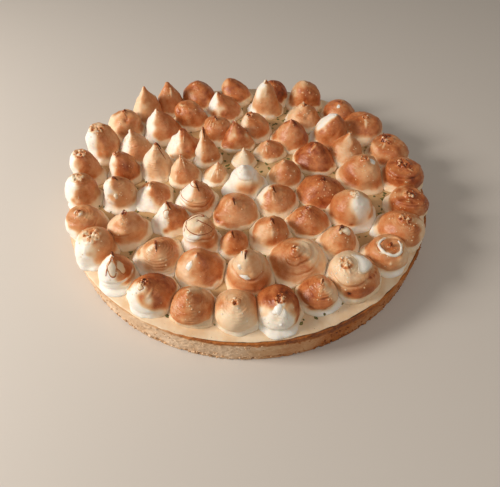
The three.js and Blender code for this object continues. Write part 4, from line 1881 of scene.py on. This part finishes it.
@dataclass
class Crumbs:
    """Crumbs that stand out of the shell's side and rim."""

    shell: PastryShell
    count: int = 1100
    seed: int = 7
    foot_share: float = 0.45  # how many of them lie at the foot
    foot_band: Pair = (0.6, 3.0)
    side_band: Pair = (1.0, 1.5)  # from the foot, and from the rim
    smallest: float = 0.3
    largest: float = 1.05
    side_largest: float = 0.735
    sunk: float = 0.4  # in the side, as a share of a crumb's size
    clearance: float = 1.65  # from the table, as a share of its size
    jag: float = 0.35  # how uneven it is
    stretch: Pair = (0.7, 1.2)
    browner: Pair = (-0.1, 0.28)  # than the side under it

    def build(self) -> None:
        """Makes all the crumbs as one piece."""
        random = np.random.default_rng(self.seed)
        ball, faces = small_ball(1)
        shell = self.shell
        patches = []
        for _ in range(self.count):
            bearing = random.uniform(0.0, math.tau)
            low = random.random() < self.foot_share
            band = self.foot_band if low else (self.side_band[0], shell.height - self.side_band[1])
            rise = random.uniform(*band)
            size = random.uniform(self.smallest, self.largest if low else self.side_largest)
            reach = shell.radius - 0.35 - self.sunk * size
            centre = np.append(reach * heading(bearing), max(rise, self.clearance * size))
            centre[0] *= shell.stretch
            jags = 1.0 + self.jag * random.uniform(-1.0, 1.0, (len(ball), 1))
            shape = ball * jags * random.uniform(*self.stretch, 3)
            # each crumb takes the side's tone there, with its painted shade
            *_, tone = shell.bands(math.degrees(bearing))
            bake = np.full(len(ball), tone + random.uniform(*self.browner))
            patches.append(Patch(centre + shape * size, faces, {"bake": bake}))
        add_piece("pastry_crumbs", joined(patches), shell.material)


@dataclass
class LemonCream:
    """The lemon cream: it fills the shell and laps unevenly over the rim."""

    material: bpy.types.Material
    shell: PastryShell
    sides: int = 420
    edge_dip: float = 0.7  # how much lower the edge is
    shoulder: float = 5.0
    shoulder_rings: int = 9
    lap: float = 0.9  # how far it creeps over the rim
    most_lap: float = 1.5
    lap_lift: float = 0.15  # how much higher it stands where it laps over
    gap: float = 0.3
    flat_rings: int = 60
    innermost: float = 4.0  # radius of the last ring of its top
    pale_band: Pair = (15.0, 8.0)  # from the edge in, where its colour pales; further in it is darker, partly as painted shade between the drops
    overflow: tuple[float, float, float] = (224.0, 32.0, 1.1)  # bearing, width and reach of a spill
    swell: tuple[Layer, ...] = ((0.16, 14.0, 21), (0.09, 4.5, 22), (0.03, 1.5, 23))
    edge_waves: tuple[Layer, ...] = ((0.9, 13.0, 24), (0.45, 3.5, 25))

    def __post_init__(self) -> None:
        """Takes the sizes of the solid."""
        low, high = (np.array(corner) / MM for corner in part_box("cream"))
        self.foot, self.top = float(low[2]), float(high[2])
        self.edge = float(high[1])

    def profile(self) -> np.ndarray:
        """The cream's section, from the middle of its underside round to the middle of its top.

        Returns:
            Rows of radius and height.
        """
        shell = self.shell
        inside = shell.radius - shell.wall - self.gap
        side = [
            (0.5 * inside, self.foot),
            (inside, self.foot),
            (inside, shell.height - shell.rim_depth),
            (self.edge - 0.3, shell.height - 1.6),
        ]
        turn = np.linspace(0.5 * math.pi, 0.0, self.shoulder_rings)
        inward, down = self.shoulder * (1.0 - np.sin(turn)), self.edge_dip * (1.0 - np.cos(turn))
        shoulder = np.stack([self.edge - inward, self.top - down], axis=-1)
        reaches = np.linspace(self.edge - self.shoulder - 1.2, self.innermost, self.flat_rings)
        return np.array([*side, *shoulder, *((reach, self.top) for reach in reaches)])

    def creep(self) -> np.ndarray:
        """How far its edge creeps outward, at each side.

        Returns:
            Millimetres.
        """
        angle = turns(self.sides)
        rim = np.concatenate([self.edge * heading(angle), np.zeros((self.sides, 1))], axis=-1)
        uneven = self.lap * np.maximum(0.05, 0.2 + layered(rim, self.edge_waves))
        bearing, spread, reach = self.overflow
        return np.minimum(uneven + reach * bell(np.degrees(turned_by(angle, bearing)), spread), self.most_lap)

    def build(self) -> Patch:
        """Makes the cream, in place of its solid.

        Returns:
            Its surface.
        """
        profile, creep = self.profile(), self.creep()
        reach, rise = profile[:, 0:1], profile[:, 1:2]
        places = turned(profile, self.sides)
        above = rise > self.shell.height - 1.0
        outward = smoothstep(self.edge - 4.0, self.edge, reach) * above
        places[..., :2] *= (1.0 + outward * creep / self.edge)[..., None]
        lapped = smoothstep(0.0, 0.6, creep) * outward
        places[..., 2] += above * layered(places, self.swell) + self.lap_lift * lapped
        places[..., 0] *= self.shell.stretch
        # edge is 1 by the rim and 0 further in, where the cream is painted darker, partly as painted shade
        # between the drops
        inset = self.edge - reach + 2.5 * grain(places, 11.0, 26)
        paint = {"edge": smoothstep(*self.pale_band, inset)}
        patch = round_patch(places, (0.0, 0.0, self.foot), (0.0, 0.0, self.top), paint)
        add_piece("lemon_cream", patch, self.material, ["cream"])
        return patch


@dataclass
class ZestFlecks:
    """Thin curved flecks of green zest, on the cream and on the feet of the drops."""

    material: bpy.types.Material
    cream: LemonCream
    forms: list[DropForm]
    ground: BVHTree
    count: int = 130
    seed: int = 12
    lengths: Pair = (1.0, 3.6)
    widths: Pair = (0.4, 1.0)
    curve: float = 1.2  # how far it may curl each way, in radians
    thickness: float = 0.14  # from its middle
    arch: float = 0.22
    lift: float = 0.06  # off the ground
    spine: int = 6  # cross-sections of a fleck
    covered: float = 0.95  # how far out they lie, as a share of the cream's radius
    clear: float = 1.06  # how near a drop's middle a fleck may lie, as a share of the drop's radius
    highest: float = 1.0  # how far above the cream it may lie, on the foot of a drop
    level: float = 0.5  # how far up the ground has to face there, where 1 is straight up
    start: float = 100.0  # the height from which its place is looked for

    def fleck(self, random: np.random.Generator, middle: np.ndarray, way: Vector) -> Patch:
        """One fleck.

        Args:
            random: The source of its shape.
            middle: Where it lies.
            way: The way that the ground faces there.

        Returns:
            Its closed surface.
        """
        length, width = random.uniform(*self.lengths), random.uniform(*self.widths)
        bearing, bend = random.uniform(0.0, math.tau), random.uniform(-self.curve, self.curve)
        along = np.linspace(-0.5, 0.5, self.spine)[:, None]
        turn = bearing + bend * along[:, 0]
        line = np.concatenate([length * along * heading(turn), self.arch * np.abs(along)], axis=-1)
        side = np.stack([-np.sin(turn), np.cos(turn), np.zeros(self.spine)], axis=-1)
        side = side * width * np.sqrt(1.02 - (2.0 * along) ** 2)
        thick = np.array([0.0, 0.0, self.thickness])
        rows = [line + side, line + thick, line - side, line - thick]
        tilt = np.array(Vector((0.0, 0.0, 1.0)).rotation_difference(way).to_matrix())
        places = middle + np.stack(rows, axis=1) @ tilt.T
        ends = middle + line[[0, -1]] @ tilt.T
        return round_patch(places, ends[0], ends[1], {})

    def build(self) -> None:
        """Makes all the flecks as one piece."""
        random = np.random.default_rng(self.seed)
        feet = np.array([form.foot for form in self.forms])
        radii = np.array([form.radius for form in self.forms])
        patches: list[Patch] = []
        while len(patches) < self.count:
            reach = self.cream.edge * self.covered * math.sqrt(random.random())
            spot = reach * heading(random.uniform(0.0, math.tau))
            if np.any(norms(feet - spot) < self.clear * radii):
                continue
            place, way, _, _ = self.ground.ray_cast(Vector((*spot, self.start)), Vector((0.0, 0.0, -1.0)))
            if place and way.z > self.level and place.z < self.cream.top + self.highest:
                patches.append(self.fleck(random, np.array(place + self.lift * way), way))
        add_piece("zest_flecks", joined(patches), self.material)


# ---------------- studio


@dataclass(frozen=True)
class Lamp:
    """A square soft light that faces the pie."""

    bearing: float
    elevation: float
    width: float
    power: float
    distance: float = 900.0
    colour: tuple[float, float, float] = (1.0, 0.92, 0.83)

    def build(self, name: str) -> None:
        """Puts the lamp in place.

        Args:
            name: Its name.
        """
        data = bpy.data.lights.new(name, "AREA")
        data.size = self.width * MM
        data.energy = self.power
        data.color = self.colour
        lamp = add_object(name, data)
        rise = math.radians(self.elevation)
        way = Vector((*(math.cos(rise) * heading(math.radians(self.bearing))), math.sin(rise)))
        lamp.location = way * (self.distance * MM)
        lamp.rotation_mode = "QUATERNION"
        lamp.rotation_quaternion = way.to_track_quat("Z", "Y")


@dataclass
class Studio:
    """A pale table, a warm soft key from the left, a weaker fill from the front, and the camera."""

    lens: float = 28.8
    sensor: float = 36.0
    clip: Pair = (0.01, 50.0)  # in metres
    target: tuple[float, float, float] = (1.6, -37.9, 0.0)
    elevation: float = 52.36
    distance: float = 272.3
    roll: float = -0.51
    floor_size: float = 6000.0
    key: Lamp = Lamp(190.0, 31.0, 260.0, 6.9)
    fill: Lamp = Lamp(300.0, 60.0, 700.0, 1.5)
    sky: Colour = (1.0, 0.9, 0.79, 1.0)
    sky_strength: float = 0.2

    def camera(self) -> None:
        """Puts the camera in place."""
        data = bpy.data.cameras.new("camera")
        data.lens = self.lens
        data.sensor_width = self.sensor
        data.clip_start, data.clip_end = self.clip
        camera = add_object("camera", data)
        rise = math.radians(self.elevation)
        back = Vector((0.0, -math.cos(rise), math.sin(rise)))
        camera.location = Vector(self.target) * MM + back * (self.distance * MM)
        facing = (-back).to_track_quat("-Z", "Y").to_matrix().to_4x4()
        twist = Matrix.Rotation(math.radians(self.roll), 4, "Z")
        camera.rotation_mode = "QUATERNION"
        camera.rotation_quaternion = (facing @ twist).to_quaternion()
        bpy.context.scene.camera = camera

    def table(self) -> None:
        """Makes the plain table."""
        half = 0.5 * self.floor_size * MM
        mesh = bpy.data.meshes.new("table")
        corners = [(-half, -half, 0.0), (half, -half, 0.0), (half, half, 0.0), (-half, half, 0.0)]
        mesh.from_pydata(corners, [], [(0, 1, 2, 3)])
        mesh.materials.append(FloorFinish().material())
        table = add_object("table", mesh)

    def room(self) -> None:
        """Makes the faint light from all round."""
        world = bpy.data.worlds.new("room")
        world.use_nodes = True
        background = world.node_tree.nodes["Background"]
        background.inputs[0].default_value = self.sky
        background.inputs[1].default_value = self.sky_strength
        bpy.context.scene.world = world

    def build(self) -> None:
        """Makes the table, the lights and the camera."""
        self.table()
        self.room()
        self.key.build("key")
        self.fill.build("fill")
        self.camera()
        bpy.context.scene.view_settings.view_transform = "Standard"
        bpy.context.scene.view_settings.look = "None"
        log.info("studio ready")


# ---------------- the pie


def main() -> None:
    """Builds the pie and its studio, piece by piece."""
    logging.basicConfig(level=logging.INFO, format="%(name)s: %(message)s")
    Studio().build()
    shell = PastryShell(PastryFinish().material())
    shell.build()
    Crumbs(shell).build()
    cream = LemonCream(CreamFinish().material(), shell)
    fill = cream.build()
    topping = Topping(MeringueFinish().material())
    drops = topping.build()
    bare = [Patch(patch.points, patch.faces) for patch in (fill, *drops)]
    ground = joined(bare)
    tree = BVHTree.FromPolygons(ground.points.tolist(), ground.faces)
    ZestFlecks(ZestFinish().material(), cream, topping.all_forms(), tree).build()


if __name__ == "__main__":
    main()
